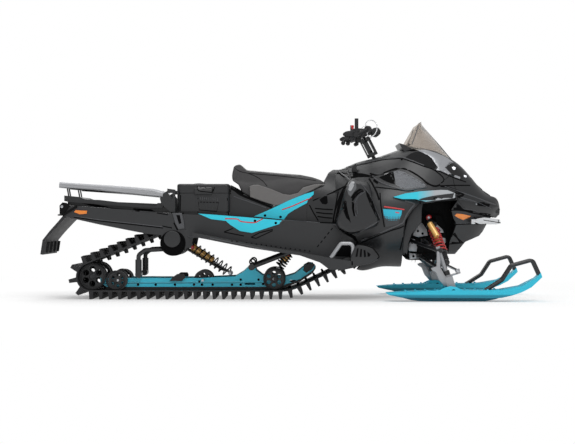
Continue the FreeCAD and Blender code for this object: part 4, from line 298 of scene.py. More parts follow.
finish = {
    "track_rubber": moulded("trackRubber", (34, 34, 36), 0.72, 500, 0.5, shift=0.4),
    "rail_paint": moulded("railPaint", (40, 208, 238), 0.36, 700, 0.08, coat=0.3),
    "shoe_plastic": moulded("shoePlastic", (30, 30, 32), 0.5),
    "wheel_plastic": moulded("wheelPlastic", (34, 35, 37), 0.42, 800, 0.2),
    "bright_steel": brushed("brightSteel", (188, 190, 194)),
    "black_steel": moulded("blackSteel", (30, 31, 33), 0.38, 1100, 0.3, coat=0.15),
    "shock_gold": moulded("shockGold", (240, 188, 110), 0.3, 900, 0.08, metal=0.25, coat=0.3),
    "tunnel_paint": moulded("tunnelPaint", (40, 41, 43), 0.45, 1200, 0.2, shift=0.2),
    "bright_alloy": moulded("brightAlloy", (164, 165, 168), 0.36, 900, 0.08, metal=0.45),
    "body_black": moulded("bodyBlack", (33, 34, 36), 0.40, 1000, 0.12, coat=0.08),
    "flap_rubber": moulded("flapRubber", (36, 36, 38), 0.62, 500, 0.4),
    "lamp_red": moulded("lampRed", (150, 20, 24), 0.2, 300, 0.05, coat=0.8),
    "lamp_orange": moulded("lampOrange", (232, 130, 34), 0.25, 300, 0.05, coat=0.8),
    "seat_cover": cover("seatCover", (50, 49, 50), 0.55, 420, 0.25),
    "seat_grey": moulded("seatGrey", (104, 102, 101), 0.5, 900, 0.25),
    "accent_blue": moulded("accentBlue", (38, 208, 232), 0.35, 700, 0.08, coat=0.3),
    "accent_silver": fading("wingFade", "X", 0.86, 0.98, (50, 200, 222), (172, 176, 180)),
    "lens_clear": glass("lensClear", (44, 46, 49), 0.12, 0.15),
    "mesh_grey": moulded("meshGrey", (88, 90, 93), 0.5, 600, 0.4),
    "guard_clear": glass("guardClear", (235, 236, 238), 0.3, 0.6),
    "screen_tint": glass("screenTint", (206, 199, 192), 0.06, 0.9),
    "engine_cast": moulded("engineCast", (70, 71, 73), 0.5, 350, 0.5, metal=0.6),
    "spring_red": moulded("springRed", (190, 44, 40), 0.35, 500, 0.1, coat=0.4),
    # ski plastic that turns darker below 40 mm, painted shade along its lower edge
    "ski_plastic": fading("skiPlasticLowShade", "Z", 0.040, 0.050, (20, 128, 152),
                          (44, 190, 218), 0.42),
    "mesh_dark": wovenMesh("meshDark", (10, 10, 11), (26, 26, 28), 340.0),
    "mesh_light": wovenMesh("meshLight", (66, 67, 70), (132, 134, 138), 260.0),
    "cyan_dots": dotFade("cyanDots", 0.500, 0.600, (52, 54, 57), (44, 176, 202), 0.0105),
    # lighter copy of the body colour: painted highlight on ridges, lips, rims and fold edges, and
    # the grey of the strap plates and the windshield's edge
    "edge_grey_and_highlight": moulded("edgeGreyAndHighlight", (72, 73, 76), 0.4, 1000, 0.1),
    # light greys painted as highlights on the knee bulge and as a reflection line on the
    # windshield crease
    "painted_sheen_grey": moulded("paintedSheenGrey", (84, 86, 89), 0.2, 1000, 0.04, coat=0.8),
    "painted_sheen_pale": moulded("paintedSheenPale", (158, 160, 163), 0.2, 1000, 0.04, coat=0.8),
    "trim_silver": moulded("trimSilver", (158, 160, 164), 0.3, 800, 0.05, metal=0.35, coat=0.4),
    "lamp_black": moulded("lampBlack", (12, 12, 14), 0.3, 500, 0.02, coat=0.2),
    # white with a glow, painted glints in the headlight's bowls
    "lamp_glint_white": plain("lampGlintWhite", (235, 238, 242), {
        "Roughness": 0.15, "Emission Color": linear(235, 238, 242), "Emission Strength": 0.6}),
    "coil_black": moulded("coilBlack", (22, 22, 24), 0.3, 700, 0.1, coat=0.4),
    "cap_red": moulded("capRed", (200, 26, 30), 0.3, 500, 0.05, coat=0.5),
    "frame_dark": moulded("frameDark", (10, 10, 11), 0.7, 600, 0.3, specular=0.15),
    "bumper_bright": moulded("bumperBright", (214, 215, 217), 0.36, 700, 0.2, metal=0.2),
    "cast_alloy": moulded("castAlloy", (182, 183, 186), 0.42, 260, 0.5, metal=0.55),
    # lighter and darker copies of the rail paint, for painted highlight and painted shade lines on
    # the rails
    "rail_highlight": moulded("railLight", (120, 222, 240), 0.3, 700, 0.05, coat=0.4),
    "rail_shade": moulded("railShade", (14, 92, 112), 0.4, 700, 0.05),
    # near-black for real seams, slots and holes, and also for painted shade in hollows, creases
    # and under edges
    "seam_and_shade_black": moulded("seamAndShadeBlack", (6, 6, 7), 0.8, 600, 0.2, specular=0.08),
    "stripe_red": moulded("stripeRed", (206, 62, 66), 0.4, 600, 0.1),
    "grip_rubber": moulded("gripRubber", (28, 28, 30), 0.66, 500, 0.5),
}
print("finishes made:", len(finish))

# Nodes whose finish differs from that of their slot's other nodes
nodeFinish = {"front_frame": "frame_dark", "frame_castings": "frame_dark",
              "front_bumper": "bumper_bright"}
slotOf = {part["node"]: part["material_slot"] for part in frame["record"]["subparts"]}


def dressNodes():
    for name, node in nodes.items():
        node.data.materials.clear()
        node.data.materials.append(finish[nodeFinish.get(name, slotOf[name])])


dressNodes()


# Tools: places read along the camera's rays, and small mesh builders

def planePoint(px, py, y):
    # point of the upright plane at y that the picture shows at a pixel
    reach = (y - view["y"]) / view["focal"]
    x = view["x"] + (px - view["width"] / 2) * reach
    z = view["z"] - (py - view["height"] / 2) * reach
    return Vector((x, y, z))


def planeLine(spots, y):
    return [planePoint(px, py, y) for px, py in spots]


def mirrorPoint(point):
    return Vector((point[0], -point[1], point[2]))


def meshTree(*meshes):
    points, faces = [], []
    for mesh in meshes:
        base = len(points)
        points.extend(vertex.co.copy() for vertex in mesh.vertices)
        for polygon in mesh.polygons:
            faces.append([base + index for index in polygon.vertices])
    return BVHTree.FromPolygons(points, faces)


def nodeTree(*names):
    return meshTree(*(nodes[name].data for name in names))


def castPixel(tree, px, py, depth=-0.35):
    # where the ray through a pixel meets the surface, with the normal that faces it
    aim = (planePoint(px, py, depth) - eye).normalized()
    spot, normal, face, far = tree.ray_cast(eye, aim)
    if spot is None:
        spot, normal, face, far = tree.find_nearest(planePoint(px, py, depth))
    return spot, -normal if normal.dot(aim) > 0 else normal


def newShape():
    return {"points": [], "faces": []}


def addFaces(shape, points, faces):
    base = len(shape["points"])
    shape["points"].extend(Vector(point) for point in points)
    shape["faces"].extend([base + index for index in face] for face in faces)


def addMirror(shape, centre=0.0):
    # the same again on the other side of an upright plane
    points = [Vector((point.x, 2 * centre - point.y, point.z)) for point in shape["points"]]
    addFaces(shape, points, [face[::-1] for face in shape["faces"]])


def cutGrid(outline, step):
    # a flat face in picture space, cut across into small cells
    patch = bmesh.new()
    patch.faces.new([patch.verts.new((x, y, 0)) for x, y in outline])
    bmesh.ops.triangulate(patch, faces=patch.faces[:])
    for axis, across in ((0, Vector((1, 0, 0))), (1, Vector((0, 1, 0)))):
        low = min(corner[axis] for corner in outline)
        high = max(corner[axis] for corner in outline)
        count = int((high - low) / step)
        for index in range(count):
            place = across * (low + (high - low) * (index + 1) / (count + 1))
            everything = patch.verts[:] + patch.edges[:] + patch.faces[:]
            bmesh.ops.bisect_plane(patch, geom=everything, plane_co=place, plane_no=across)
    bmesh.ops.triangulate(patch, faces=patch.faces[:])
    patch.verts.ensure_lookup_table()
    patch.verts.index_update()
    return patch


def addPatch(shape, tree, outline, lift, thick, step, inset):
    # raised skin that follows the surface behind an outline in the picture
    patch = cutGrid(outline, step)
    tops, feet = [], []
    for vertex in patch.verts:
        spot, normal = castPixel(tree, vertex.co.x, vertex.co.y)
        rim = any(edge.is_boundary for edge in vertex.link_edges)
        tops.append(spot + normal * (lift + thick - (inset if rim else 0.0)))
        feet.append(spot - normal * 0.001)
    faces = []
    for face in patch.faces:
        order = [vertex.index for vertex in face.verts]
        corner = tops[order[0]]
        across = (tops[order[1]] - corner).cross(tops[order[2]] - corner)
        faces.append(order if across.dot(corner - eye) < 0 else order[::-1])
    patch.free()
    count = len(tops)
    edges = dict.fromkeys(pair for face in faces for pair in zip(face, face[1:] + face[:1]))
    faces += [[second, first, first + count, second + count] for first, second in edges
              if (second, first) not in edges]
    addFaces(shape, tops + feet, faces)


def addRibbon(shape, tree, line, width, lift, thick, crown):
    # flat strip that follows a surface along a line in the picture; crown narrows its top
    spots = [castPixel(tree, x, y) for x, y in line]
    points, faces = [], []
    last = len(spots) - 1
    for index, (spot, normal) in enumerate(spots):
        along = spots[min(index + 1, last)][0] - spots[max(index - 1, 0)][0]
        side = along.cross(normal).normalized() * width / 2
        top = spot + normal * (lift + thick)
        foot = spot - normal * 0.0008
        points.extend((foot + side, top + side * crown, top - side * crown, foot - side))
    for low in range(0, last * 4, 4):
        for part, following in ((0, 1), (1, 2), (2, 3), (3, 0)):
            faces.append([low + part, low + 4 + part, low + 4 + following, low + following])
    faces.append([0, 1, 2, 3])
    faces.append([last * 4 + part for part in (3, 2, 1, 0)])
    addFaces(shape, points, faces)


def smoothLine(points, parts):
    # smooth line through points, in the picture or in space
    line = []
    spots = [Vector(point) for point in points]
    last = len(spots) - 1
    for index in range(last):
        p0, p1 = spots[max(index - 1, 0)], spots[index]
        p2, p3 = spots[index + 1], spots[min(index + 2, last)]
        for part in range(parts):
            t = part / parts
            line.append(((2 * p1) + (p2 - p0) * t + (2 * p0 - 5 * p1 + 4 * p2 - p3) * t ** 2
                         + (3 * p1 - p0 - 3 * p2 + p3) * t ** 3) / 2)
    return line + [points[-1]]


def addPlate(shape, near, far, outline, bevel):
    # plate between two upright planes, its outline read from the picture
    plate = bmesh.new()
    face = plate.faces.new([plate.verts.new(spot) for spot in planeLine(outline, near)])
    grown = bmesh.ops.extrude_face_region(plate, geom=[face])
    for part in grown["geom"]:
        if isinstance(part, bmesh.types.BMVert):
            part.co.y = far
    bmesh.ops.recalc_face_normals(plate, faces=plate.faces[:])
    bmesh.ops.bevel(plate, geom=plate.edges[:], offset=bevel, segments=2, affect="EDGES",
                    profile=0.5, clamp_overlap=True)
    plate.verts.ensure_lookup_table()
    plate.verts.index_update()
    addFaces(shape, [vertex.co.copy() for vertex in plate.verts],
             [[vertex.index for vertex in face.verts] for face in plate.faces])
    plate.free()


def addRings(shape, points, segments):
    # faces between closed rings of points, with a cap at either end
    faces, last = [], len(points) - segments
    for low in range(0, last, segments):
        for index in range(segments):
            following = low + (index + 1) % segments
            faces.append([low + index, following, following + segments, low + segments + index])
    faces.append(list(reversed(range(segments))))
    faces.append(list(range(last, len(points))))
    addFaces(shape, points, faces)


def addLathe(shape, profile, start, axis, segments=28, radius=1.0):
    # turned form: distances along an axis, each with its share of the radius
    turn = Vector(axis).normalized().to_track_quat("Z", "Y").to_matrix()
    points = []
    for along, share in profile:
        reach = radius * share
        for index in range(segments):
            angle = math.tau * index / segments
            flat = Vector((reach * math.cos(angle), reach * math.sin(angle), along))
            points.append(Vector(start) + turn @ flat)
    addRings(shape, points, segments)


def addTube(shape, path, radius, segments=12):
    # round bar along a list of points, closed at both ends
    points, side = [], None
    path = [Vector(point) for point in path]
    for index, point in enumerate(path):
        along = (path[min(index + 1, len(path) - 1)] - path[max(index - 1, 0)]).normalized()
        side = along.orthogonal().normalized() if side is None else side
        side = (side - along * side.dot(along)).normalized()
        other = along.cross(side)
        for part in range(segments):
            angle = math.tau * part / segments
            points.append(point + (side * math.cos(angle) + other * math.sin(angle)) * radius)
    addRings(shape, points, segments)


def placeMesh(name, mesh, body="chassis"):
    mesh.name = name
    piece = addObject(name, mesh)
    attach(piece, body)
    return piece


def makePiece(name, entry, **changes):
    # one piece from its dictionary: areas and lines follow the surface it lies on, plates are
    # (near, far, outline), lathes and tubes hold what addLathe and addTube take; "mirror"
    # says both sides, one (as drawn) or left (its mirror image alone)
    entry = {"on": shell, "finish": "seam_and_shade_black", "body": "chassis", "lift": 0.0,
             "thick": 0.0012, "step": 2.0, "inset": 0.0, "parts": 4, "crown": 1.0,
             "bevel": 0.001, "mirror": "both", **entry, **changes}
    shape = newShape()
    for area in entry.get("areas", ()):
        addPatch(shape, entry["on"], area, entry["lift"], entry["thick"], entry["step"],
                 entry["inset"])
    for line in entry.get("lines", ()):
        line = smoothLine(line, entry["parts"]) if entry["parts"] else line
        addRibbon(shape, entry["on"], line, entry["width"], entry["lift"], entry["thick"],
                  entry["crown"])
    for near, far, outline in entry.get("plates", ()):
        addPlate(shape, near, far, outline, entry["bevel"])
    for turned in entry.get("lathes", ()):
        addLathe(shape, *turned)
    for bar in entry.get("tubes", ()):
        addTube(shape, *bar)
    if "centre" in entry:
        addMirror(shape, entry["centre"])
    if entry["mirror"] != "one":
        ends = len(shape["points"]), len(shape["faces"])
        addMirror(shape)
        if entry["mirror"] == "left":
            shape = {"points": shape["points"][ends[0]:],
                     "faces": [[index - ends[0] for index in face]
                               for face in shape["faces"][ends[1]:]]}
    mesh = bpy.data.meshes.new(name)
    mesh.from_pydata(shape["points"], [], shape["faces"])
    mesh.materials.append(finish[entry["finish"]])
    mesh.shade_smooth()
    mesh.set_sharp_from_angle(angle=math.radians(32))
    return placeMesh(name, mesh, entry["body"])


def makePieces(entries):
    for name, entry in entries.items():
        makePiece(name, entry)


shell = nodeTree("hood", "side_panels", "side_covers", "belly_pan", "nose_cone", "nose_chin",
                 "side_grilles", "console", "headlight", "fender_wings", "seat_base",
                 "accent_plates", "seat_panels", "running_boards")

# Skins, seams and small lines of the body, each read from the picture on the right side
# and mirrored to the left; parts 0 leaves a line's corners sharp
makePieces({
    "cyanPanel": {"finish": "cyan_dots", "slot": "accent_blue", "step": 2.5,
        "areas": [[(383, 209), (402, 210.5), (401.5, 214), (398.5, 224), (395, 225), (386, 227),
            (384, 216)]]},
    "hoodMesh": {"finish": "mesh_dark", "thick": 0.0014,
        "areas": [[(405, 157.5), (411, 153.5), (416, 151.8), (421, 152.2), (430, 156), (434, 161),
            (436.5, 166), (435, 169), (430, 168), (420, 164.5), (413, 161.5)]]},
    "grilleMesh": {"finish": "mesh_light", "slot": "mesh_grey", "thick": 0.0016,
        "areas": [[(393.5, 171.8), (399, 170.6), (404, 172), (413, 177), (420, 181), (425.5, 185),
            (424.5, 187.2), (416, 187.8), (407, 189.2), (400, 188), (395.6, 184.5), (395, 179)]]},
    "grilleShade": {
        "areas": [[(379, 177.5), (390, 172.6), (393.4, 172), (394.8, 179), (395.4, 184.4),
            (390, 183), (384, 180.5)]]},
    "grilleLip": {"finish": "edge_grey_and_highlight", "width": 0.013, "thick": 0.007, "crown": 0.35,
        "lines": [[(374, 178), (380, 182.3), (386, 184.8), (394, 187.3), (400, 189), (407, 190.4),
            (417, 188.9), (426.5, 187.3)]]},
    "hoodEdge": {"width": 0.012,
        "lines": [[(370, 173.5), (378, 175.3), (386, 172), (394, 169.2), (400, 168.3),
            (406, 169.3), (414, 173.2), (422, 178.6), (427, 183.2), (435, 186.2), (440, 184.8)],
            [(337, 173.2), (350, 174), (362, 174.6), (372, 175.6)], [(427, 184), (440, 186.2),
            (447, 187), (459, 191.5), (463.5, 194.2), (460, 197.4)]]},
    "hoodCreases": {"width": 0.008, "thick": 0.001,
        "lines": [[(338, 170.9), (350, 167.4), (363, 164.3), (382, 160), (395, 158.8),
            (402, 158.6), (413, 162.2), (424, 166.4), (434, 170), (444, 179.2), (437.5, 185.6)],
            [(440, 185.8), (454, 185.4), (470, 185.4)], [(434, 170), (440, 171.5), (447, 174.8),
            (456, 178.5), (466, 182)]]},
    "hoodRidges": {"finish": "edge_grey_and_highlight", "width": 0.01, "thick": 0.003, "crown": 0.25,
        "lines": [[(337, 170), (350, 166.3), (363, 163.2), (382, 158.7), (395, 157.2),
            (403, 157.4), (413, 161), (424, 165.4)], [(444.6, 186.4), (455, 190), (463.3, 193),
            (475.8, 197.3), (488.3, 202.2), (495.8, 204.8)], [(460.4, 197.2), (469, 199.6),
            (476.7, 202.2)]]},
    "noseSeams": {"width": 0.008,
        "lines": [[(455.6, 201), (464.2, 210.4), (481.7, 214.8), (491.7, 216.9)], [(476.3, 204),
            (480, 203), (484.6, 202.8)], [(450, 210.2), (458, 210.2), (466.5, 211.2)],
            [(455.8, 224.4), (471.7, 223.8), (488.6, 224.2)], [(449.5, 244), (458, 243.2),
            (466.6, 242.6)], [(450, 210.4), (453, 217), (455.8, 224.4)], [(455.8, 224.4),
            (452.5, 234.2), (449.2, 242.8)]]},
    "kneeShadow": {"width": 0.012,
        "lines": [[(350.5, 179.6), (345, 186.5), (341, 194), (336.5, 206), (333.8, 217),
            (333.8, 223.6), (337, 227.6), (345, 232), (354.5, 237)], [(369, 178.6), (373, 185),
            (377, 193), (379.2, 200)], [(367.5, 192.5), (370.4, 199.5), (374, 208), (377, 215),
            (379, 220.4)], [(363.4, 190.8), (358.6, 193.3), (354.4, 197.4), (352.3, 200.8)],
            [(352.4, 202), (353.6, 206.4), (353.9, 211), (354.4, 216)]]},
    # black patch painted as shade in the knee hollow
    "kneeHollowShade": {
        "areas": [[(343, 200.5), (346.4, 200.8), (346.8, 206), (348.2, 213), (350, 219),
            (350.6, 223.2), (347.2, 216.4), (344.4, 208.4)]]},
    "kneeRims": {"finish": "edge_grey_and_highlight", "width": 0.008, "thick": 0.003, "crown": 0.3,
        "lines": [[(365, 191.6), (359.4, 195.6), (356, 200), (354.8, 205), (355, 212),
            (356.2, 216.4)], [(354, 235.4), (363, 230.2), (372, 225.6), (378.4, 221)]]},
    # light grey patch painted as the highlight on the knee bulge
    "kneeHighlight": {"finish": "painted_sheen_grey",
        "areas": [[(349.4, 180.6), (353, 180.5), (356, 184), (356.4, 188.4), (352.8, 193.8),
            (350.8, 196.6), (348.4, 194.4), (347.2, 190), (347.8, 185)]]},
    "sideSeams": {"width": 0.008,
        "lines": [[(380, 193), (381, 206), (384.4, 227)], [(420, 203), (418.2, 208.6),
            (415.2, 209.8), (412, 214), (407, 222), (402, 227), (390, 231), (370, 239),
            (359, 244)], [(375.5, 187), (382, 187.8), (391, 188.8), (400, 190), (408, 191),
            (414, 190.2)], [(285, 220.5), (300, 221), (315, 222), (333, 224.8)], [(404, 231),
            (402.4, 240), (400, 250)], [(338.3, 191.7), (335.4, 207), (332.8, 222.8)]]},
    "sideRidge": {"finish": "edge_grey_and_highlight", "width": 0.012, "thick": 0.003, "crown": 0.3,
        "lines": [[(405, 200.6), (414, 203.4), (412.6, 206.6), (409, 211), (406, 216),
            (403.4, 222), (399.6, 224.8), (390, 229), (370, 237), (361, 241)], [(281.7, 225),
            (300, 227.4), (315, 229.6), (330.6, 231.7)]]},
    "redLines": {"finish": "stripe_red", "slot": "accent_blue", "width": 0.0075,
        "lines": [[(282, 209.7), (292, 206.2), (303, 201.4), (312, 197.2)], [(225, 218.6),
            (237, 219), (241, 221.4), (254, 222.6), (259, 220.6), (263, 218.7)], [(384, 206.6),
            (394, 208), (404.4, 209.6)], [(395.4, 212.4), (399.2, 212.9)]]},
    "consoleLines": {"width": 0.008, "thick": 0.001, "parts": 0,
        "lines": [[(312.8, 200.6), (330, 193.6), (346, 185.6)], [(309.4, 205), (313.6, 213),
            (318.3, 220.6)], [(315, 208.4), (324, 209.2), (332.8, 209.6)], [(316.2, 212.4),
            (324, 213.4), (332.8, 213.9)], [(317.4, 216.4), (325, 217.6), (332.4, 218.2)]]},
    # black patch painted as shade in the console's hollow
    "consoleHollowShade": {
        "areas": [[(319.4, 199.6), (324.4, 196.1), (327.2, 196.1), (327.8, 202.8), (326.1, 204.4),
            (322.2, 203.9)]]},
    "noseMarker": {"finish": "lamp_orange", "thick": 0.004, "inset": 0.002,
        "areas": [[(454.6, 215.4), (456.7, 213.6), (463.3, 214.2), (470.8, 216), (470, 216.9),
            (462.9, 220), (456.7, 217.2)]]},
    "lampTrim": {"finish": "trim_silver", "slot": "accent_silver", "thick": 0.003, "inset": 0.001,
        "areas": [[(415.5, 149.4), (422, 149), (430, 151.2), (436.7, 153.3), (442.5, 155.8),
            (448.3, 158.8), (453.3, 162.7), (446.7, 160.6), (440.6, 160.4), (442.5, 164.2),
            (445, 167.5), (447.9, 170.8), (450.8, 173.3), (454.2, 175.9), (452.5, 176.2),
            (448.3, 174.4), (444.2, 172.3), (440, 170.6), (436, 170), (437.9, 167.5), (435, 163.3),
            (431.7, 158.3), (427.5, 155), (421, 152)]]},
    "lampGlass": {"finish": "lamp_black", "slot": "lens_clear", "thick": 0.002,
        "areas": [[(440.8, 160.8), (446.7, 161), (452, 163.4), (456, 166), (460, 168.8),
            (465.5, 173), (466.5, 177.5), (462, 179), (457, 178.2), (453, 175.6), (449, 172),
            (445.4, 168), (442.6, 164.2)]]},
    # glowing white spots painted as glints in the headlight
    "lampBowlGlints": {"finish": "lamp_glint_white", "slot": "lens_clear", "thick": 0.006, "inset": 0.002,
        "step": 1.5,
        "areas": [[(451.6, 167.4), (453.4, 166.8), (455.2, 167.8), (455, 169.8), (453.2, 170)],
            [(463.6, 175.2), (466.2, 176), (466, 177.6), (464, 177)]]},
})
print("body skins and seams made")


# Node trees for what repeats: coils of wire, and bolt heads on listed places

def newGrowTree(name, inputs):
    tree = bpy.data.node_groups.new(name, "GeometryNodeTree")
    for label, kind in inputs.items():
        tree.interface.new_socket(label, in_out="INPUT", socket_type="NodeSocket" + kind)
    tree.interface.new_socket("Geometry", in_out="OUTPUT", socket_type="NodeSocketGeometry")
    return tree, tree.nodes.new("NodeGroupInput").outputs


def closeTree(tree, made, material):
    real = addNode(tree, "GeometryNodeRealizeInstances", {"Geometry": made})
    paint = addNode(tree, "GeometryNodeSetMaterial", {"Geometry": real.outputs["Geometry"],
                                                      "Material": material})
    addNode(tree, "NodeGroupOutput", {"Geometry": paint.outputs["Geometry"]})
    return tree


def makeCoilTree():
    tree, source = newGrowTree("coilSpring", {"Turns": "Float", "Radius": "Float", "Wire": "Float",
                                              "Height": "Float", "Finish": "Material"})
    spiral = addNode(tree, "GeometryNodeCurveSpiral", {
        "Resolution": 26, "Rotations": source["Turns"], "Start Radius": source["Radius"],
        "End Radius": source["Radius"], "Height": source["Height"]})
    ring = addNode(tree, "GeometryNodeCurvePrimitiveCircle", {
        "Resolution": 10, "Radius": source["Wire"]}, mode="RADIUS")
    sweep = addNode(tree, "GeometryNodeCurveToMesh", {
        "Fill Caps": True, "Curve": spiral.outputs["Curve"],
        "Profile Curve": ring.outputs["Curve"]})
    smooth = addNode(tree, "GeometryNodeSetShadeSmooth", {"Geometry": sweep.outputs["Mesh"]})
    return closeTree(tree, smooth.outputs["Geometry"], source["Finish"])


def makeHeadTree():
    # a six-sided head with a washer on each point, turned to the point's axis
    tree, source = newGrowTree("boltHeads", {"Geometry": "Geometry", "Radius": "Float",
                                             "Height": "Float", "Sides": "Int",
                                             "Finish": "Material"})
    radius, height = source["Radius"], source["Height"]
    head = addNode(tree, "GeometryNodeMeshCylinder", {
        "Vertices": source["Sides"], "Radius": radius,
        "Depth": doMath(tree, "MULTIPLY", height, 2.0)})
    washer = addNode(tree, "GeometryNodeMeshCone", {
        "Vertices": 18, "Radius Bottom": doMath(tree, "MULTIPLY", radius, 1.45),
        "Radius Top": doMath(tree, "MULTIPLY", radius, 1.2),
        "Depth": doMath(tree, "MULTIPLY", height, 0.35)})
    both = addNode(tree, "GeometryNodeJoinGeometry", {"Geometry": head.outputs["Mesh"]})
    feed(tree, both, {"Geometry": washer.outputs["Mesh"]})
    axis = addNode(tree, "GeometryNodeInputNamedAttribute", {"Name": "axis"},
                   data_type="FLOAT_VECTOR")
    turn = addNode(tree, "FunctionNodeAlignRotationToVector",
                   {"Vector": axis.outputs["Attribute"]}, axis="Z")
    spread = addNode(tree, "GeometryNodeInstanceOnPoints", {
        "Points": source["Geometry"], "Instance": both.outputs["Geometry"],
        "Rotation": turn.outputs["Rotation"]})
    return closeTree(tree, spread.outputs["Instances"], source["Finish"])


coilTree = makeCoilTree()
headTree = makeHeadTree()


def meshFrom(piece):
    scene.view_layers[0].update()
    graph = bpy.context.evaluated_depsgraph_get()
    return bpy.data.meshes.new_from_object(piece.evaluated_get(graph))


def growTree(name, tree, values, mesh=None):
    # plain mesh that a node tree makes from its named inputs
    holder = addObject(name + "Seed", mesh or bpy.data.meshes.new(name + "Seed"))
    modifier = holder.modifiers.new("grow", "NODES")
    modifier.node_group = tree
    for item in tree.interface.items_tree:
        if item.item_type == "SOCKET" and item.in_out == "INPUT" and item.name in values:
            modifier[item.identifier] = values[item.name]
    made = meshFrom(holder)
    holder.modifiers.remove(modifier)
    bpy.data.objects.remove(holder)
    return made


def addHeads(name, spots, entry, body="chassis"):
    # bolt heads at places with their axes
    mesh = bpy.data.meshes.new(name + "Spots")
    mesh.from_pydata([spot for spot, axis in spots], [], [])
    layer = mesh.attributes.new("axis", "FLOAT_VECTOR", "POINT")
    for index, (spot, axis) in enumerate(spots):
        layer.data[index].vector = axis
    made = growTree(name, headTree, {"Radius": entry["radius"], "Height": entry["height"],
                                     "Sides": entry.get("sides", 6),
                                     "Finish": finish[entry["finish"]]}, mesh)
    made.shade_flat()
    placeMesh(name, made, body)


def bothAxes(spots):
    return spots + [(mirrorPoint(spot), mirrorPoint(axis)) for spot, axis in spots]


def coilAlong(start, end, entry, material):
    # coil between two places
    mesh = growTree("coil", coilTree, {"Turns": entry["turns"], "Wire": entry["wire"],
                                       "Radius": entry["coil"] - entry["wire"],
                                       "Height": (end - start).length, "Finish": material})
    turn = (end - start).to_track_quat("Z", "Y").to_matrix().to_4x4()
    mesh.transform(Matrix.Translation(start) @ turn)
    return mesh


def joinCoils(name, meshes, material):
    # several coils made one piece, with one finish
    joined = bmesh.new()
    for mesh in meshes:
        joined.from_mesh(mesh)
    whole = bpy.data.meshes.new(name)
    joined.to_mesh(whole)
    joined.free()
    whole.materials.clear()
    whole.materials.append(material)
    return placeMesh(name, whole)


# Front dampers: red coils, perches, a black head and bellows over the lower end
right = (0, -1, 0)
frontDamper = {"top": (0.961, -0.200, 0.553), "low": (1.060, -0.398, 0.254), "start": 0.24,
               "end": 0.79, "coil": 0.038, "wire": 0.0058, "turns": 8.5}
damperTop, damperLow = Vector(frontDamper["top"]), Vector(frontDamper["low"])
damperAxis = (damperLow - damperTop).normalized()


def makeFrontSprings(entry):
    start, end = [damperTop.lerp(damperLow, entry[share]) for share in ("start", "end")]
    coils = [coilAlong(start, end, entry, finish["spring_red"]),
             coilAlong(mirrorPoint(start), mirrorPoint(end), entry, finish["spring_red"])]
    piece = joinCoils("frontCoils", coils, finish["spring_red"])
    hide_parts("front_springs")


makeFrontSprings(frontDamper)
makePieces({
    "frontDamperCollars": {
        "finish": "black_steel",
        "lathes": [([(0, 0.9), (reach * 0.15, 1), (reach * 0.85, 1), (reach, 0.9)],
                    damperTop.lerp(damperLow, share), damperAxis, 28, radius)
                   for share, reach, radius in ((0.045, 0.030, 0.022), (0.145, 0.016, 0.037),
                                                (0.79, 0.012, 0.037))]
        + [([(fold * 0.009, 0.019 if fold % 2 else 0.0245) for fold in range(9)],
            damperTop.lerp(damperLow, 0.60), damperAxis)]},
    "frontDamperCaps": {
        "finish": "cap_red", "slot": "spring_red",
        "lathes": [([(0, 0.010), (0.002, 0.012), (0.005, 0.012), (0.006, 0.010)],
                    damperTop + Vector((0, -0.014, 0)), right)]},
})

# Skid dampers: gold tube, black coils, steel rod and a red adjuster
skidDampers = [
    {"top": (-0.6817, 0, 0.359), "low": (-0.402, 0, 0.1702), "body": 0.026, "coil": 0.042,
     "wire": 0.0045, "turns": 8, "start": 0.10, "end": 0.97},
    {"top": (0.0124, 0, 0.3169), "low": (-0.0734, 0, 0.1942), "body": 0.023, "coil": 0.038,
     "wire": 0.0050, "turns": 5.5, "start": 0.13, "end": 0.86},
]


def makeSkidDampers(entries):
    gold, steel, red, coils = [], [], [], []
    for entry in entries:
        top, low = Vector(entry["top"]), Vector(entry["low"])
        axis, length = (low - top).normalized(), (low - top).length
        radius, reach = entry["body"], length * 0.56
        gold.append(([(0.012, 0.8), (0.016, 1.1), (0.030, 1.1), (0.033, 1), (reach * 0.55, 1),
                      (reach * 0.56, 1.08), (reach * 0.60, 1.08), (reach * 0.61, 1), (reach, 1),
                      (reach + 0.004, 0.7)], top, axis, 28, radius))
        steel.append(([(0, 0.0065), (length * 0.48, 0.0065)], top + axis * length * 0.5, axis,
                      16))
        for spot in (top, low):
            steel.append(([(0, 0.015), (0.002, 0.017), (0.024, 0.017), (0.026, 0.015)],
                          spot + Vector((0, -0.013, 0)), (0, 1, 0)))
        red.append(([(0, 0.010), (0.003, 0.013), (0.013, 0.013), (0.016, 0.010)],
                    top + axis * 0.020 + Vector((0, -radius, 0)), right))
        coils.append(coilAlong(top + axis * length * entry["start"],
                               top + axis * length * entry["end"], entry, finish["coil_black"]))
    body = makePiece("skidDamperTubes", {"finish": "shock_gold", "lathes": gold, "mirror": "one"})
    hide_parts("skid_shocks")
    makePiece("skidDamperRods", {"finish": "bright_steel", "lathes": steel, "mirror": "one"})
    makePiece("skidDamperKnobs", {"finish": "cap_red", "slot": "spring_red", "lathes": red,
                                  "mirror": "one"})
    joinCoils("skidCoils", coils, finish["coil_black"])


makeSkidDampers(skidDampers)
print("dampers and coils made")

# Rear deck, tunnel, box and skid details
rear = nodeTree("tunnel", "rear_rack", "rack_brackets", "cargo_box", "seat_base",
                "running_boards")
lidTree = nodeTree("cargo_lid", "lid_latch")
rails = nodeTree("skid_rails")
strapFace = castPixel(rear, 187, 221)[0].y
strapNear = strapFace - 0.010

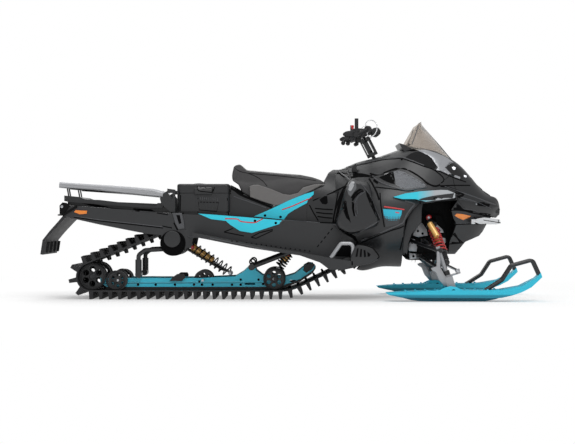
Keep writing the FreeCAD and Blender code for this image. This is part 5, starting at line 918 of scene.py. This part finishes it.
makePieces({
    "deckSlits": {"on": rear, "slot": "tunnel_paint", "step": 4.0,
        "areas": [[(82, 203.3), (94, 204), (110, 207), (108.7, 208.2), (95.3, 206.8), (90, 205.7)],
            [(132.7, 208.3), (151.3, 209.3), (156.7, 212.6), (148.7, 212.8), (135.3, 211.3)]]},
    # dark lines painted as shade along the tunnel's folds and corners
    "tunnelFoldShade": {"on": rear, "slot": "tunnel_paint", "width": 0.007, "thick": 0.0008,
        "parts": 0,
        "lines": [[(74, 217.2), (100, 221), (130, 224.2), (163, 228)], [(110, 208), (133, 211.2)],
            [(157, 213), (168, 214.8)], [(162, 226), (172, 228)], [(224, 232), (232.8, 228.4)],
            [(224, 232), (236, 234.4), (244, 236)], [(251.1, 237.2), (259.4, 232.8),
            (272.8, 229.4)], [(256, 238.4), (272.8, 230.6)], [(251.1, 237.2), (256, 238.4)]]},
    "tunnelRidge": {"on": rear, "finish": "edge_grey_and_highlight", "slot": "tunnel_paint", "width": 0.008,
        "thick": 0.0025, "crown": 0.3, "parts": 0,
        "lines": [[(74, 216.2), (100, 220), (130, 223.2), (163, 227)], [(70, 219), (100, 225.4),
            (140, 233.6)], [(188, 236.8), (210, 238), (230, 242), (250, 246.2), (276, 251.6)]]},
    "strapPlates": {
        "finish": "edge_grey_and_highlight", "slot": "black_steel", "bevel": 0.002,
        "plates": [(strapNear, strapFace + 0.004, [(172.4, 212.8), (181.6, 213), (183.4, 220),
            (184.6, 228.4), (178.4, 229.2), (175, 222.6)])]},
    "strapSlots": {
        "slot": "black_steel", "bevel": 0.0004,
        "plates": [(strapNear - 0.0012, strapNear + 0.002, [(176.2, 215), (179.8, 215.2),
            (181.4, 223.2), (179, 224)])]},
    "strapShade": {"on": rear, "width": 0.009, "thick": 0.001, "parts": 0,
        "lines": [[(171.4, 212.6), (174, 223), (177.6, 230.2)], [(183, 212.6), (185.8, 229.6)]]},
    # sleeves that give the rack's side rails their depth, with a thin black tube under each as
    # painted shade
    "rackSleeves": {
        "finish": "bright_alloy",
        "tubes": [(smoothLine(planeLine([(59.6, 184.8), (66, 185.4), (90, 187), (120, 189),
            (150, 191.4), (158, 192.8), (162.4, 194.2)], -0.290), 5), 0.0205, 20)]},
    "rackUnderShade": {
        "slot": "black_steel",
        "tubes": [(planeLine([(70, 188.9), (100, 191), (130, 193.3), (160, 196.4)], -0.294),
                   0.0038, 8)]},
    "seatGap": {"on": rear, "width": 0.016, "thick": 0.001,
        "lines": [[(231, 188.4), (235, 190.4), (240, 194.2), (248, 197.8), (260, 202.6),
            (272, 207.4)]]},
    "sidePanelEdge": {"on": rear, "finish": "edge_grey_and_highlight", "width": 0.008, "thick": 0.002,
        "crown": 0.4, "parts": 0,
        "lines": [[(233.6, 196.4), (250, 202.2), (266.1, 207.8)]]},
    "boxLines": {"on": rear, "width": 0.006, "thick": 0.0008, "parts": 0,
        "lines": [[(198.7, 202), (218.7, 202.7), (216.7, 211.3), (199.3, 210), (198.7, 202)],
            [(180.7, 195), (180.2, 211)], [(198, 198), (198, 213)], [(227.4, 198),
            (227.2, 213.4)]]},
    "boxRibs": {"on": rear, "finish": "edge_grey_and_highlight", "width": 0.005, "thick": 0.003, "crown": 0.6,
        "parts": 0,
        "lines": [[(200.4 + step * 2.1, 196.8 + step * 0.1),
            (200.5 + step * 2.1, 200.0 + step * 0.1)] for step in range(9)]},
    "lidLatchLines": {
        "on": lidTree, "width": 0.006, "lift": 0.0002, "thick": 0.0008, "parts": 6, "body": "lid",
        "lines": [[(197.6, 186.2), (198.6, 190.6), (206, 191.8), (212.4, 192), (214.4, 187)],
            [(199.4, 187.8), (212.8, 188.6)]]},
    "lidLatchPlates": {
        "on": lidTree, "finish": "coil_black", "slot": "black_steel", "lift": 0.0002,
        "thick": 0.005, "step": 3.0, "inset": 0.001, "body": "lid",
        "areas": [[(197.8, 186.8), (206, 187), (214.2, 187.4), (212.2, 191.6), (206, 191.4),
            (198.8, 190.4)]]},
    "lidHandle": {
        "finish": "body_black", "bevel": 0.003, "mirror": "one", "body": "lid",
        "plates": [(-0.055, 0.055, [(192.6, 187), (193.8, 183.6), (199, 183.2), (206.4, 183.8),
            (208, 187)])]},
})

# Bolt heads and the tunnel's perforations
bolts = {
    "holes": {"finish": "seam_and_shade_black", "slot": "tunnel_paint", "radius": 0.0034, "height": 0.0010,
              "sides": 12},
    "plates": {"finish": "seam_and_shade_black", "slot": "black_steel", "radius": 0.0062, "height": 0.0035},
    "rails": {"finish": "seam_and_shade_black", "slot": "black_steel", "radius": 0.0062, "height": 0.004},
    "webs": {"finish": "seam_and_shade_black", "slot": "black_steel", "radius": 0.006, "height": 0.003},
    "studs": {"finish": "ski_plastic", "slot": "ski_plastic", "radius": 0.0065, "height": 0.007,
              "sides": 8},
}
holeLine = [(232 + step * 4.9, 241 + step * 0.62) for step in range(9)]
holeLine += [(276 + step * 4.8, 246.8 + step * 0.62) for step in range(8)]
plateBoltPlaces = [(265, 215.5), (280.5, 217), (255, 220.8), (275.8, 223)]
railBoltPlaces = [(138, 284.7), (155.7, 284.7), (175, 284.7), (194, 284.7), (212.7, 284.7),
    (232, 284.7), (202, 279.6), (202, 284.7), (240.7, 279.6), (240.7, 284.7), (251.6, 266.6),
    (258.6, 279.6), (263, 284)]


def makeHoles():
    accents = nodeTree("accent_plates")
    addHeads("tunnelHoles", bothAxes([castPixel(rear, x, y) for x, y in holeLine]), bolts["holes"])
    addHeads("plateBolts", bothAxes([castPixel(accents, x, y) for x, y in plateBoltPlaces]),
             bolts["plates"])
    spots = []
    for x, y in railBoltPlaces:
        spot, axis = castPixel(rails, x, y, -0.17)
        if axis.y < -0.9:
            spots += [(spot, axis), (Vector((spot.x, spot.y + 0.014, spot.z)), -axis)]
    addHeads("railBolts", bothAxes(spots), bolts["rails"])


makeHoles()


def ringPath(x, y, z, radius, count):
    return [Vector((x, y, z)) + Vector((math.cos(turn / count * math.tau), 0,
                                        math.sin(turn / count * math.tau))) * radius
            for turn in range(count + 1)]


# Tyres and hubs are (x, z, radius) of the wheels' outer faces; the upper idlers show as a
# tyre round a smaller cap on the outside of the axle hangers
outerWheels = [(-1.338, 0.1524, 0.092), (-1.178, 0.1264, 0.066), (-0.093, 0.1344, 0.074)]
hubProfile = [(0, 0.020), (0.010, 0.020), (0.013, 0.016), (0.013, 0.010), (0.018, 0.009),
              (0.018, 0.004)]
makePieces({
    # painted highlight lines along the rails' edges
    "railHighlightLines": {"on": rails, "finish": "rail_highlight", "slot": "rail_paint", "width": 0.0045,
        "thick": 0.0018, "crown": 0.4, "parts": 0,
        "lines": [[(104, 282.4), (150, 282.2), (200, 282), (244, 281.8)], [(104, 278.6),
            (150, 278.2), (200, 277.8), (234, 277.4), (243, 272), (249.6, 265.4)]]},
    # painted shade line along the rails' lower band
    "railShadeLines": {"on": rails, "finish": "rail_shade", "slot": "rail_paint", "width": 0.004,
        "thick": 0.0006, "parts": 0,
        "lines": [[(104, 283.4), (150, 283.2), (200, 283), (262, 282.8)]]},
    "dashes": {"on": rear, "width": 0.007, "parts": 0,
        "lines": [[(332.6 - step * 3.4, 228 + step * 4.2),
            (330.8 - step * 3.4, 230.2 + step * 4.2)] for step in range(5)]},
    "tailBrackets": {
        "finish": "frame_dark", "slot": "black_steel",
        "plates": [(-0.336, -0.322, [(59.4, 205.6), (62.4, 202.4), (66.4, 202.8), (70, 206),
            (66.6, 210.4), (62.6, 214.4), (59.8, 213)]),
                   (-0.340, -0.322, [(61.4, 214.6), (76.4, 205.2), (77.2, 207.2),
                       (63.2, 216.2)])]},
    "tailRings": {
        "finish": "bright_steel",
        "lathes": [([(0, 0.004), (0.001, 0.009), (0.003, 0.009), (0.004, 0.006)],
                    planePoint(61.8, 206.6, -0.336), right, 20)]},
    "hangerTyres": {
        "slot": "wheel_plastic",
        "lathes": [([(0, 1), (0.004, 1), (0.008, 0.97), (0.009, 0.90), (0.004, 0.84),
                     (0.003, 0.4)], (-0.780, -0.3255, 0.381), right, 48, 0.086)]},
    "hangerCaps": {
        "finish": "body_black",
        "lathes": [([(0, 1), (0.010, 1), (0.013, 0.93), (0.014, 0.3)],
                    (-0.784, -0.3275, 0.409), right, 40, 0.056)]},
    "wheelTyres": {
        "finish": "grip_rubber", "slot": "wheel_plastic",
        "tubes": [(ringPath(x, -0.223, z, radius - 0.006, 36), 0.0075, 10)
                  for x, z, radius in outerWheels]},
    "wheelHubs": {
        "finish": "wheel_plastic",
        "lathes": [(hubProfile, (x, -0.223, z), right) for x, z, radius in outerWheels]},
    "hullEnds": {
        "finish": "body_black", "bevel": 0.002,
        "plates": [(-0.392, -0.34, [(338, 262), (346, 257.6), (352, 256.6), (368, 261.6),
            (368, 264), (361, 265.4), (353, 268), (345, 269.6), (338, 271)])]},
})

# Skis: studs along the rims and caps on the saddle bolts
skiTrim = {"first": 0.715, "last": 1.43, "pitch": 0.066, "rim": 0.083, "centre": 0.535}


def makeSkiTrim(entry):
    up, down = Vector((0, 0, 1)), Vector((0, 0, -1))
    for side, name, body in ((-1, "ski_right", "right_ski"), (1, "ski_left", "left_ski")):
        tree = nodeTree(name)
        spots = []
        for index in range(int((entry["last"] - entry["first"]) / entry["pitch"]) + 1):
            for rim in (-entry["rim"], entry["rim"]):
                spot, normal, face, far = tree.ray_cast(
                    Vector((entry["first"] + index * entry["pitch"],
                            side * entry["centre"] + rim, 0.5)), down)
                if spot is not None:
                    spots.append((spot, up))
        addHeads(body + "Studs", spots, bolts["studs"], body)
        makePiece(body + "BoltCaps", {
            "slot": "black_steel", "body": body, "mirror": "one",
            "lathes": [([(0, 0.0135), (0.008, 0.0135), (0.010, 0.011)],
                        (1.090, side * entry["centre"] + across * 0.029, 0.070), (0, across, 0),
                        24) for across in (-1, 1)]})


makeSkiTrim(skiTrim)
print("rear, skid and ski details made")

# Bay, nose, knee and front suspension details; the cheeks are seated on the panel's own face
cheekFace = castPixel(shell, 404, 240)[0].y + 0.004
webHoles = [(418, 231), (422.6, 233.6), (412.2, 242.6), (413.4, 256.2), (439.2, 230.4)]
makePieces({
    # dark plates that stand for the shade inside the front bay
    "bayShadeLiners": {
        "finish": "frame_dark", "slot": "black_steel",
        "plates": [(-0.128, -0.112, [(438, 197), (460, 196), (462, 206), (459, 222), (456, 240),
            (447, 246), (438, 242)])]},
    "bayCheeks": {
        "finish": "body_black", "bevel": 0.0015,
        "plates": [(cheekFace - 0.006, cheekFace, [(403, 252), (404, 236), (407, 222), (410, 210),
            (416, 203.4), (423, 202.6), (421.6, 210), (421.4, 222.6), (416, 229), (411.6, 234),
            (408.6, 243), (407.2, 254)])]},
    "frameWebs": {
        "finish": "cast_alloy", "slot": "bright_alloy", "bevel": 0.003,
        "plates": [(-0.152, -0.136, outline) for outline in [[(413.3, 232.8), (418.3, 223.3),
            (422.2, 222.8), (426.7, 229.4), (427.8, 235.6), (418.3, 237.2), (412.8, 235.6)],
            [(431.7, 220.6), (437, 224.4), (442.8, 229.4), (443.9, 232.8), (438.3, 232.8)],
            [(439.4, 237.6), (445.6, 238.3), (446.1, 242.2), (442.8, 245), (439.6, 243)],
            [(410.6, 238.3), (415, 239.4), (417.2, 247.2), (416.7, 251.7), (408.9, 251.1),
            (408.3, 247.2)], [(408.9, 252.8), (416.1, 253.9), (419.4, 258.3), (409.6, 259.6)]]]},
})
addHeads("webBolts", bothAxes([(spot, Vector(right)) for spot in planeLine(webHoles, -0.152)]),
         bolts["webs"])
makePieces({
    "wingShade": {"finish": "body_black", "thick": 0.0016, "step": 3.0,
        "areas": [[(415.9, 200.2), (424, 197.8), (432.2, 196), (443, 194.5), (454, 193.2),
            (458, 194.4), (457.8, 197), (452, 199.4), (440, 201.4), (428, 202.6), (420, 202.4)]]},
    "wingMark": {"width": 0.008, "lift": 0.0016,
        "lines": [[(433.4, 198.4), (435, 198), (437, 198.2)]]},
    "noseLips": {
        "finish": "body_black", "bevel": 0.003, "mirror": "one",
        "plates": [(-0.062, 0.062, outline) for outline in [[(462, 184), (470, 180.2),
            (477, 184.6), (482.4, 189.4), (481.6, 191.2), (470, 190)], [(472, 191), (481, 189),
            (490.4, 195.4), (489.6, 197.2), (478, 196)], [(480, 198), (488, 195.4), (495, 200.2),
            (494.2, 202), (484, 202)], [(484, 204), (492, 201), (500, 208.8), (499.6, 214),
            (495.4, 213.2), (487, 210)]]]},
    # dark lines painted as shade under the nose's edges
    "noseEdgeShade": {"width": 0.011, "thick": 0.001, "parts": 0,
        "lines": [[(456.1, 200.6), (459.4, 205.4), (462.8, 210), (472.8, 211.9), (490.6, 217)],
            [(453.9, 192.8), (460, 193.2), (464.4, 194)], [(464, 194), (458.3, 197.6)],
            [(451.7, 242.6), (460, 242.4), (467, 241.8)]]},
    "noseRidges": {"finish": "edge_grey_and_highlight", "width": 0.006, "thick": 0.003, "crown": 0.3, "parts": 0,
        "lines": [[(455.4, 223.4), (466, 223.2), (476, 222.8), (486, 224)], [(458.3, 198.8),
            (470, 201), (480, 203.4), (491, 208.6)], [(463.2, 208.6), (474, 210.4), (488, 214.6)],
            [(420, 204.4), (432, 203.2), (446, 202.6), (455, 200.6)]]},
    # black patches painted as shade under the nose's lips
    "noseShade": {"thick": 0.001, "step": 3.0,
        "areas": [[(475.2, 203.8), (478, 202.8), (484, 203), (490, 204.2), (489, 207),
            (478, 205.8)], [(474, 212.2), (486, 213.2), (491, 214.4), (491.6, 217), (486, 216.6),
            (478, 214.4)], [(455.4, 196.8), (460.6, 195), (464.4, 194.4), (459, 199.2),
            (455.6, 199.8)], [(444.6, 205), (455.6, 202.6), (462.4, 210), (450.4, 210)]]},
    "noseLight": {"finish": "trim_silver", "slot": "accent_silver", "lift": 0.001, "step": 3.0,
        "areas": [[(475.6, 203.6), (476.8, 203.4), (477, 204.8), (475.8, 204.8)]]},
    "bumperMarks": {"on": nodeTree("front_bumper"), "finish": "frame_dark", "slot": "black_steel",
        "width": 0.0045, "parts": 0,
        "lines": [[(498.2, 219.6), (498.6, 223)], [(500, 220), (500.4, 222.8)], [(474, 222.6),
            (486, 224), (498, 224.4)]]},
    # black crescents painted as shade along the knee bulge and under the hood's edge
    "kneeCreaseShade": {"step": 2.5,
        "areas": [[(343.1, 196.3), (345.6, 203.8), (350.6, 221.9), (346.3, 218), (342.5, 208.8)],
            [(363.4, 189.6), (359, 191.4), (354.6, 195.6), (352.8, 199.4), (350.8, 197.4),
            (354, 192.4), (359.4, 188.6)], [(352, 203.2), (354.8, 203.4), (355.2, 208.4),
            (356.2, 214.6), (353, 213.4), (351.8, 208)], [(365.6, 190), (369.4, 195), (373.6, 203),
            (378.8, 218.6), (375.4, 215.4), (370.6, 205.6), (366.6, 196)], [(347.4, 181.6),
            (346.4, 187), (343.2, 195.4), (336.4, 222.6), (333.8, 225.4), (337.6, 206),
            (341.2, 193)], [(334.4, 224.9), (345, 230.4), (355.4, 236.2), (358.8, 243.4),
            (356.4, 243.6), (353, 238.6), (343, 233), (333.6, 228)], [(336.3, 171.6),
            (348.8, 172.3), (362, 173.4), (370, 175), (374.4, 178.4), (367.5, 177), (358, 177.2),
            (349, 179), (342, 176.2)], [(374.6, 178.2), (379, 181.2), (377.4, 184.4),
            (373, 181)]]},
    # paler core of the painted highlight on the knee bulge
    "kneeHighlightCore": {"finish": "painted_sheen_pale", "lift": 0.0008, "inset": 0.0008,
        "areas": [[(351.4, 181.4), (354.6, 182), (353.6, 186.4), (350.8, 191.6), (348.4, 190),
            (349, 185.2)]]},
    "kneeEdges": {"finish": "edge_grey_and_highlight", "width": 0.006, "thick": 0.0024, "crown": 0.3,
        "lines": [[(354, 235.4), (364, 229.6), (378.4, 221.4)], [(362.4, 192), (357.6, 196.2),
            (356.8, 204), (357.6, 214)], [(357.4, 181), (364, 187), (371, 197.6), (380, 219)]]},
})

# Vent pods at the front of the footwells, their slots cast on the pods themselves
ventPods = makePiece("ventPods", {
    "finish": "body_black", "bevel": 0.006,
    "plates": [(-0.478, -0.36, [(350.6, 257.5), (352.8, 251), (356.3, 245.6), (360, 243.8),
        (371.3, 246.3), (376.4, 251), (380, 256.3), (378.1, 259.6), (371.3, 263.4), (361, 265.2),
        (350.6, 266.6)])]})
legRib = {
    "finish": "bright_alloy", "bevel": 0.006,
    "plates": [(-0.551, -0.519, [(437, 251), (439.6, 252), (440.6, 260.4), (440.4, 267),
        (444.4, 274.6), (447.6, 279.6), (450.2, 286), (444.6, 286.4), (439, 280), (436, 272.4),
        (432.4, 270.4), (431, 268), (436.6, 266.6)])],
}
makePieces({
    "ventPodSlots": {
        "on": meshTree(ventPods.data), "lift": 0.0002, "thick": 0.0008, "step": 3.0,
        "width": 0.007, "parts": 6, "areas": [[(357.2, 248.4), (358.6, 248.2), (357.4, 256.6),
            (355.4, 257)], [(360.4, 249), (362, 249), (361.6, 256.8), (359.6, 257)], [(363.6, 250),
            (365.4, 250.2), (366, 256.8), (364, 257.2)], [(367.4, 251.6), (370.6, 254.4),
            (369.6, 256.4), (367.6, 256.8)]],
        "lines": [[(355.4, 246.2), (360, 244.6), (371, 247.2), (376, 251.8), (379, 256.4),
            (377.2, 259)]]},
    "footwellPanels": {"plates": [(-0.40, -0.388, [(335, 256.4), (342.6, 245.4), (353.6, 246),
        (353, 256.8)])]},
    "right_knuckleRib": {**legRib, "body": "right_knuckle", "mirror": "one"},
    "left_knuckleRib": {**legRib, "body": "left_knuckle", "mirror": "left"},
    "damperBoots": {
        "finish": "grip_rubber", "slot": "track_rubber",
        "lathes": [([(-0.012, 0.016)]
                    + [(half * 0.085 / 12, 0.027 if half % 2 else 0.0216) for half in range(12)]
                    + [(0.085, 0.016)], damperLow - damperAxis * 0.012, -damperAxis, 24)]},
    "damperEyeRings": {
        "finish": "cap_red", "slot": "spring_red",
        "lathes": [([(-0.010, 1.3), (0, 1.3), (0.004, 1)], planePoint(428.7, 217.6, -0.226),
                    right, 28, 0.0150)]},
    "damperEyePins": {
        "finish": "bright_steel",
        "lathes": [([(0.003, 1), (0.006, 0.9)], planePoint(428.7, 217.6, -0.226), right, 24,
                    0.0085)]},
})
print("front details made")


# Seat cushion: cloth blown up over a slightly smaller shape, then its seams

seatPad = {"voxel": 0.0075, "inset": 0.004, "cap": 0.0055, "pressure": 4.0, "frames": 20,
           "fill": 0.85}


def blowUp(pad, entry):
    # Blender's cloth with air pressure; how far each point may move is capped
    mesh = pad.data
    starts = [vertex.co.copy() for vertex in mesh.vertices]
    held = pad.vertex_groups.new(name="held")
    held.add([vertex.index for vertex in mesh.vertices if vertex.normal.z < -0.5], 1.0, "REPLACE")
    cloth = pad.modifiers.new("cloth", "CLOTH")
    cloth.settings.use_pressure = True
    cloth.settings.uniform_pressure_force = entry["pressure"]
    cloth.settings.vertex_group_mass = "held"
    cloth.settings.effector_weights.gravity = 0
    cloth.settings.quality = 5
    cloth.collision_settings.use_collision = False
    cloth.collision_settings.use_self_collision = False
    for frame in range(1, entry["frames"] + 1):
        scene.frame_set(frame)
    blown = meshFrom(pad)
    pad.modifiers.remove(cloth)
    for index, start in enumerate(starts):
        move = blown.vertices[index].co - start
        if move.length > entry["cap"]:
            move = move.normalized() * entry["cap"]
        mesh.vertices[index].co = start + move
    bpy.data.meshes.remove(blown)
    scene.frame_set(1)


def makeSeatPad(entry):
    source = bmesh.new()
    source.from_mesh(nodes["seat_cushion"].data)
    bmesh.ops.remove_doubles(source, verts=source.verts[:], dist=0.0001)
    rough = bpy.data.meshes.new("seatPadStart")
    source.to_mesh(rough)
    source.free()
    pad = addObject("seatPad", rough)
    remesh = pad.modifiers.new("cells", "REMESH")
    remesh.mode = "VOXEL"
    remesh.voxel_size = entry["voxel"]
    cells = meshFrom(pad)
    pad.modifiers.remove(remesh)
    pad.data = cells
    for vertex in cells.vertices:
        vertex.co -= vertex.normal * entry["inset"]
    blowUp(pad, entry)
    soften = pad.modifiers.new("soften", "SMOOTH")
    soften.factor = 0.5
    soften.iterations = 4
    finer = pad.modifiers.new("finer", "SUBSURF")
    finer.levels = finer.render_levels = 1
    done = meshFrom(pad)
    pad.modifiers.clear()
    pad.data = done
    done.materials.clear()
    done.materials.append(finish["seat_cover"])
    done.shade_smooth()
    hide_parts("seat_cushion")
    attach(pad, "chassis")
    return done


# Gold cans beside the front dampers; switch blocks, bar pad and stop button ride
# on the handlebar
padMesh = makeSeatPad(seatPad)
canTop, canLow = planePoint(429.4, 223, -0.300), planePoint(437.2, 236.4, -0.345)
canAxis, canReach = (canLow - canTop).normalized(), (canLow - canTop).length
makePieces({
    "seatPadSeams": {
        "on": meshTree(padMesh), "slot": "seat_cover", "width": 0.005, "lift": 0.0002,
        "thick": 0.0018, "crown": 0.4, "parts": 6, "lines": [[(248.3, 173.3), (252.6, 175),
            (257.2, 177.2), (262.8, 181.1), (267.2, 186.1)], [(235.4, 168.4), (240, 171.4),
            (248.3, 173.3)], [(248.3, 173.3), (262, 174.4), (280, 176), (300, 178.4),
            (316, 180.6)]]},
    # dark strip that closes the joint between the cushion and its base
    "padSkirt": {
        "bevel": 0.002, "mirror": "one", "plates": [(-0.180, 0.180, [(231, 185), (237, 188),
            (244, 192), (256, 198.4), (272, 204.4), (276, 208.6), (262, 206.4), (248, 200.6),
            (238, 194.6), (232, 190.6)])]},
    "damperCans": {
        "finish": "shock_gold",
        "lathes": [([(0, 0.8), (0.003, 1), (canReach * 0.3, 1), (canReach * 0.31, 1.07),
                     (canReach * 0.36, 1.07), (canReach * 0.37, 1), (canReach - 0.004, 1),
                     (canReach, 0.85)], canTop, canAxis, 28, 0.0195)]},
    "damperNecks": {
        "finish": "coil_black", "slot": "black_steel",
        "lathes": [([(0, 0.7), (0.012, 0.95), (0.020, 0.95)], canTop - canAxis * 0.018, canAxis,
                    24, 0.0195),
                   ([(-0.026, 0.017), (-0.024, 0.0215), (0.024, 0.0215), (0.026, 0.017)],
                    damperLow, right)],
        "tubes": [([planePoint(431, 219.6, -0.225), canTop + Vector((0, 0.02, 0.012)), canTop],
                   0.011)]},
})

# Raised rims beside the ski saddles, with a bolt on either face
skiHump = {
    "finish": "ski_plastic", "bevel": 0.003, "centre": -0.535,
    "plates": [(-0.6215, -0.606, [(430, 293.6), (438, 291), (445, 287.6), (450.6, 286.2),
        (456, 287), (463, 290.2), (471, 292.6), (474, 294.6), (430, 294.6)])],
}
rimBolt = planePoint(453.7, 291.2, -0.6215)
rimBolts = {
    "slot": "black_steel",
    "lathes": [([(-0.002, 0.0125), (0.003, 0.0125), (0.005, 0.010)],
                (rimBolt.x, -0.535 + across * 0.0865, rimBolt.z), (0, across, 0), 24)
               for across in (-1, 1)],
}
for mirror, body in (("one", "right_ski"), ("left", "left_ski")):
    makePiece(body + "Humps", skiHump, body=body, mirror=mirror)
    makePiece(body + "RimBolts", rimBolts, body=body, mirror=mirror)

screen = nodeTree("windshield")
knobFace = castPixel(shell, 354.6, 172.6)[0].y
rodSpots = [(-0.6817, 0.359), (-0.700, 0.335), (-0.462, 0.196), (-0.425, 0.186)]
makePieces({
    "barPad": {
        "finish": "grip_rubber", "bevel": 0.008, "mirror": "one", "body": "steering",
        "plates": [(-0.055, 0.055, [(350.6, 129.4), (356, 128), (366, 128.6), (373, 129.4),
            (373.6, 133.4), (368, 135.2), (358, 136), (351, 134)]),
                   (-0.075, 0.075, [(371, 129.6), (373.6, 127.8), (378, 127.2), (381, 130.4),
                       (380.6, 133.8), (377, 136.6), (372, 135)])]},
    "stopButton": {
        "finish": "cap_red", "slot": "lamp_red", "mirror": "one", "body": "steering",
        "lathes": [([(0, 0.007), (0.018, 0.007), (0.0186, 0.0105), (0.027, 0.0105),
                     (0.030, 0.008)], planePoint(352.8, 129.6, -0.055) + Vector((0, 0.012, 0)),
                    (-0.1, 0, 1), 24)]},
    "clearGuards": {
        "finish": "guard_clear", "slot": "lens_clear", "body": "steering",
        "tubes": [(smoothLine(planeLine([(368.6, 131), (365.8, 127.4), (366, 123), (369.4, 120.4),
            (373.4, 120.8), (376.6, 124.4), (376.8, 130), (374, 135), (370, 137), (367.4, 134),
            (368.6, 131)], -0.300), 6), 0.0034, 10)]},
    "screenEdge": {
        "finish": "edge_grey_and_highlight", "mirror": "one",
        "tubes": [(smoothLine(planeLine([(419.6, 123.4), (424, 128.2), (432, 137.2), (440, 146.2),
            (448.6, 156.4), (454.6, 163.2), (459.6, 168.4)], 0), 6), 0.003)]},
    "screenFoot": {"on": nodeTree("windshield", "console", "hood"), "step": 3.0,
        "areas": [[(397.4, 146.4), (400.4, 145), (409, 148.2), (418, 150.6), (412, 151.4),
            (399, 150.4)]]},
    # grey line painted as the reflection along the windshield's crease
    "screenCreaseReflection": {"on": screen, "finish": "painted_sheen_grey", "slot": "screen_tint", "width": 0.006,
        "thick": 0.0015,
        "lines": [[(411.8, 144.6), (414.2, 138), (416.8, 130.6), (418.4, 126)]]},
    "lampRecess": {"finish": "lamp_black", "slot": "lens_clear", "lift": 0.001,
        "areas": [[(441, 160.8), (449.4, 161.8), (456.6, 167.4), (463.6, 174.2), (464.6, 176.8),
            (458, 176.2), (452, 173.6), (446, 167.6)]]},
    "lampLower": {"finish": "trim_silver", "slot": "accent_silver", "width": 0.016,
        "thick": 0.0022,
        "lines": [[(437.4, 164.4), (441, 168.2), (447, 171.6), (453, 175.4), (460, 178)]]},
    "controlPods": {
        "finish": "grip_rubber", "bevel": 0.006, "body": "steering",
        "plates": [(-0.345, -0.300, [(342.8, 133.2), (346, 131.2), (352, 130.4), (356, 132.8),
            (354, 137), (349, 136.6), (343.4, 135.6)])],
        "lathes": [([(0, 0.9), (0.004, 1), (0.024, 1), (0.028, 0.85)], spot, right, 24, 0.0155)
                   for spot in planeLine([(346.6, 138.2), (351.6, 138.6)], -0.308)]},
    "sideKnob": {
        "finish": "grip_rubber", "bevel": 0.003, "mirror": "one",
        "plates": [(knobFace - 0.011, knobFace + 0.011, [(351.8, 172), (351.6, 168.6),
            (353, 165.4), (355.6, 163.6), (357.2, 165.4), (356.4, 168), (358.2, 172)])]},
    "pivotRings": {
        "finish": "grip_rubber", "slot": "wheel_plastic",
        "tubes": [(ringPath(*planePoint(252.5, 261.8, -0.205), 0.019, 32), 0.0055, 10)]},
    # link rods either side of the rear skid damper
    "linkRods": {
        "finish": "black_steel", "mirror": "one",
        "tubes": [([(x, y, z) for x, z in rodSpots], 0.0075) for y in (-0.052, 0.052)]
        + [([(x, -0.058, z), (x, 0.058, z)], 0.010, 16) for x, z in (rodSpots[0], rodSpots[-1])]},
})
print("seat, bars, skis and links made")


# Floor, lamps and world

def makeStage():
    floorMesh = bpy.data.meshes.new("studioFloor")
    reach = 60.0
    floorMesh.from_pydata([(-reach, -reach, 0), (reach, -reach, 0), (reach, reach, 0),
                           (-reach, reach, 0)], [], [(0, 1, 2, 3)])
    floor = addObject("studioFloor", floorMesh)
    floor.location.z = -0.001
    material, tree, shader = newFinish("floorWhite")
    tree.nodes.clear()
    diffuse = addNode(tree, "ShaderNodeBsdfDiffuse", {"Color": (0.97, 0.97, 0.97, 1)})
    glow = addNode(tree, "ShaderNodeEmission", {"Color": (1, 1, 1, 1), "Strength": 1.0})
    path = addNode(tree, "ShaderNodeLightPath").outputs
    seen = doMath(tree, "MAXIMUM", path["Is Camera Ray"], path["Is Glossy Ray"])
    also = doMath(tree, "MAXIMUM", seen, path["Is Transmission Ray"])
    # the floor turns into the backdrop's white with distance from the object
    away = addNode(tree, "ShaderNodeVectorMath", {0: objectSpace(tree)}, operation="LENGTH")
    far = remap(tree, away.outputs["Value"], 1.6, 4.2, 0.30, 1.0, interpolation_type="SMOOTHSTEP")
    mix = addNode(tree, "ShaderNodeMixShader", {0: doMath(tree, "MULTIPLY", also, far),
                                                1: diffuse.outputs[0], 2: glow.outputs[0]})
    addNode(tree, "ShaderNodeOutputMaterial", {"Surface": mix.outputs[0]})
    floorMesh.materials.append(material)


def makeWorld():
    world = bpy.data.worlds.new("studioWorld")
    scene.world = world
    world.use_nodes = True
    tree = world.node_tree
    path = addNode(tree, "ShaderNodeLightPath").outputs
    seen = doMath(tree, "MAXIMUM", path["Is Camera Ray"], path["Is Transmission Ray"])
    feed(tree, tree.nodes["Background"], {"Color": (1, 1, 1, 1),
                                          "Strength": remap(tree, seen, 0, 1, 0.5, 1.0)})


lamps = {
    "keyLamp": {"at": (1.5, -5.0, 6.0), "size": (5.0, 3.0), "power": 225},
    "topLamp": {"at": (-1.0, 1.0, 6.5), "size": (7.0, 4.0), "power": 150},
    "backLamp": {"at": (-2.0, 6.0, 4.5), "size": (5.0, 3.0), "power": 120},
}


def makeLamps():
    for name, lamp in lamps.items():
        data = bpy.data.lights.new(name, "AREA")
        data.shape = "RECTANGLE"
        data.size, data.size_y = lamp["size"]
        data.energy = lamp["power"]
        light = addObject(name, data)
        light.location = lamp["at"]
        aim = Vector((0, 0, 0.5)) - Vector(lamp["at"])
        light.rotation_euler = aim.to_track_quat("-Z", "Y").to_euler()


makeStage()
makeWorld()
makeLamps()
scene.view_settings.view_transform = "Standard"
print("stage, world and lamps set")
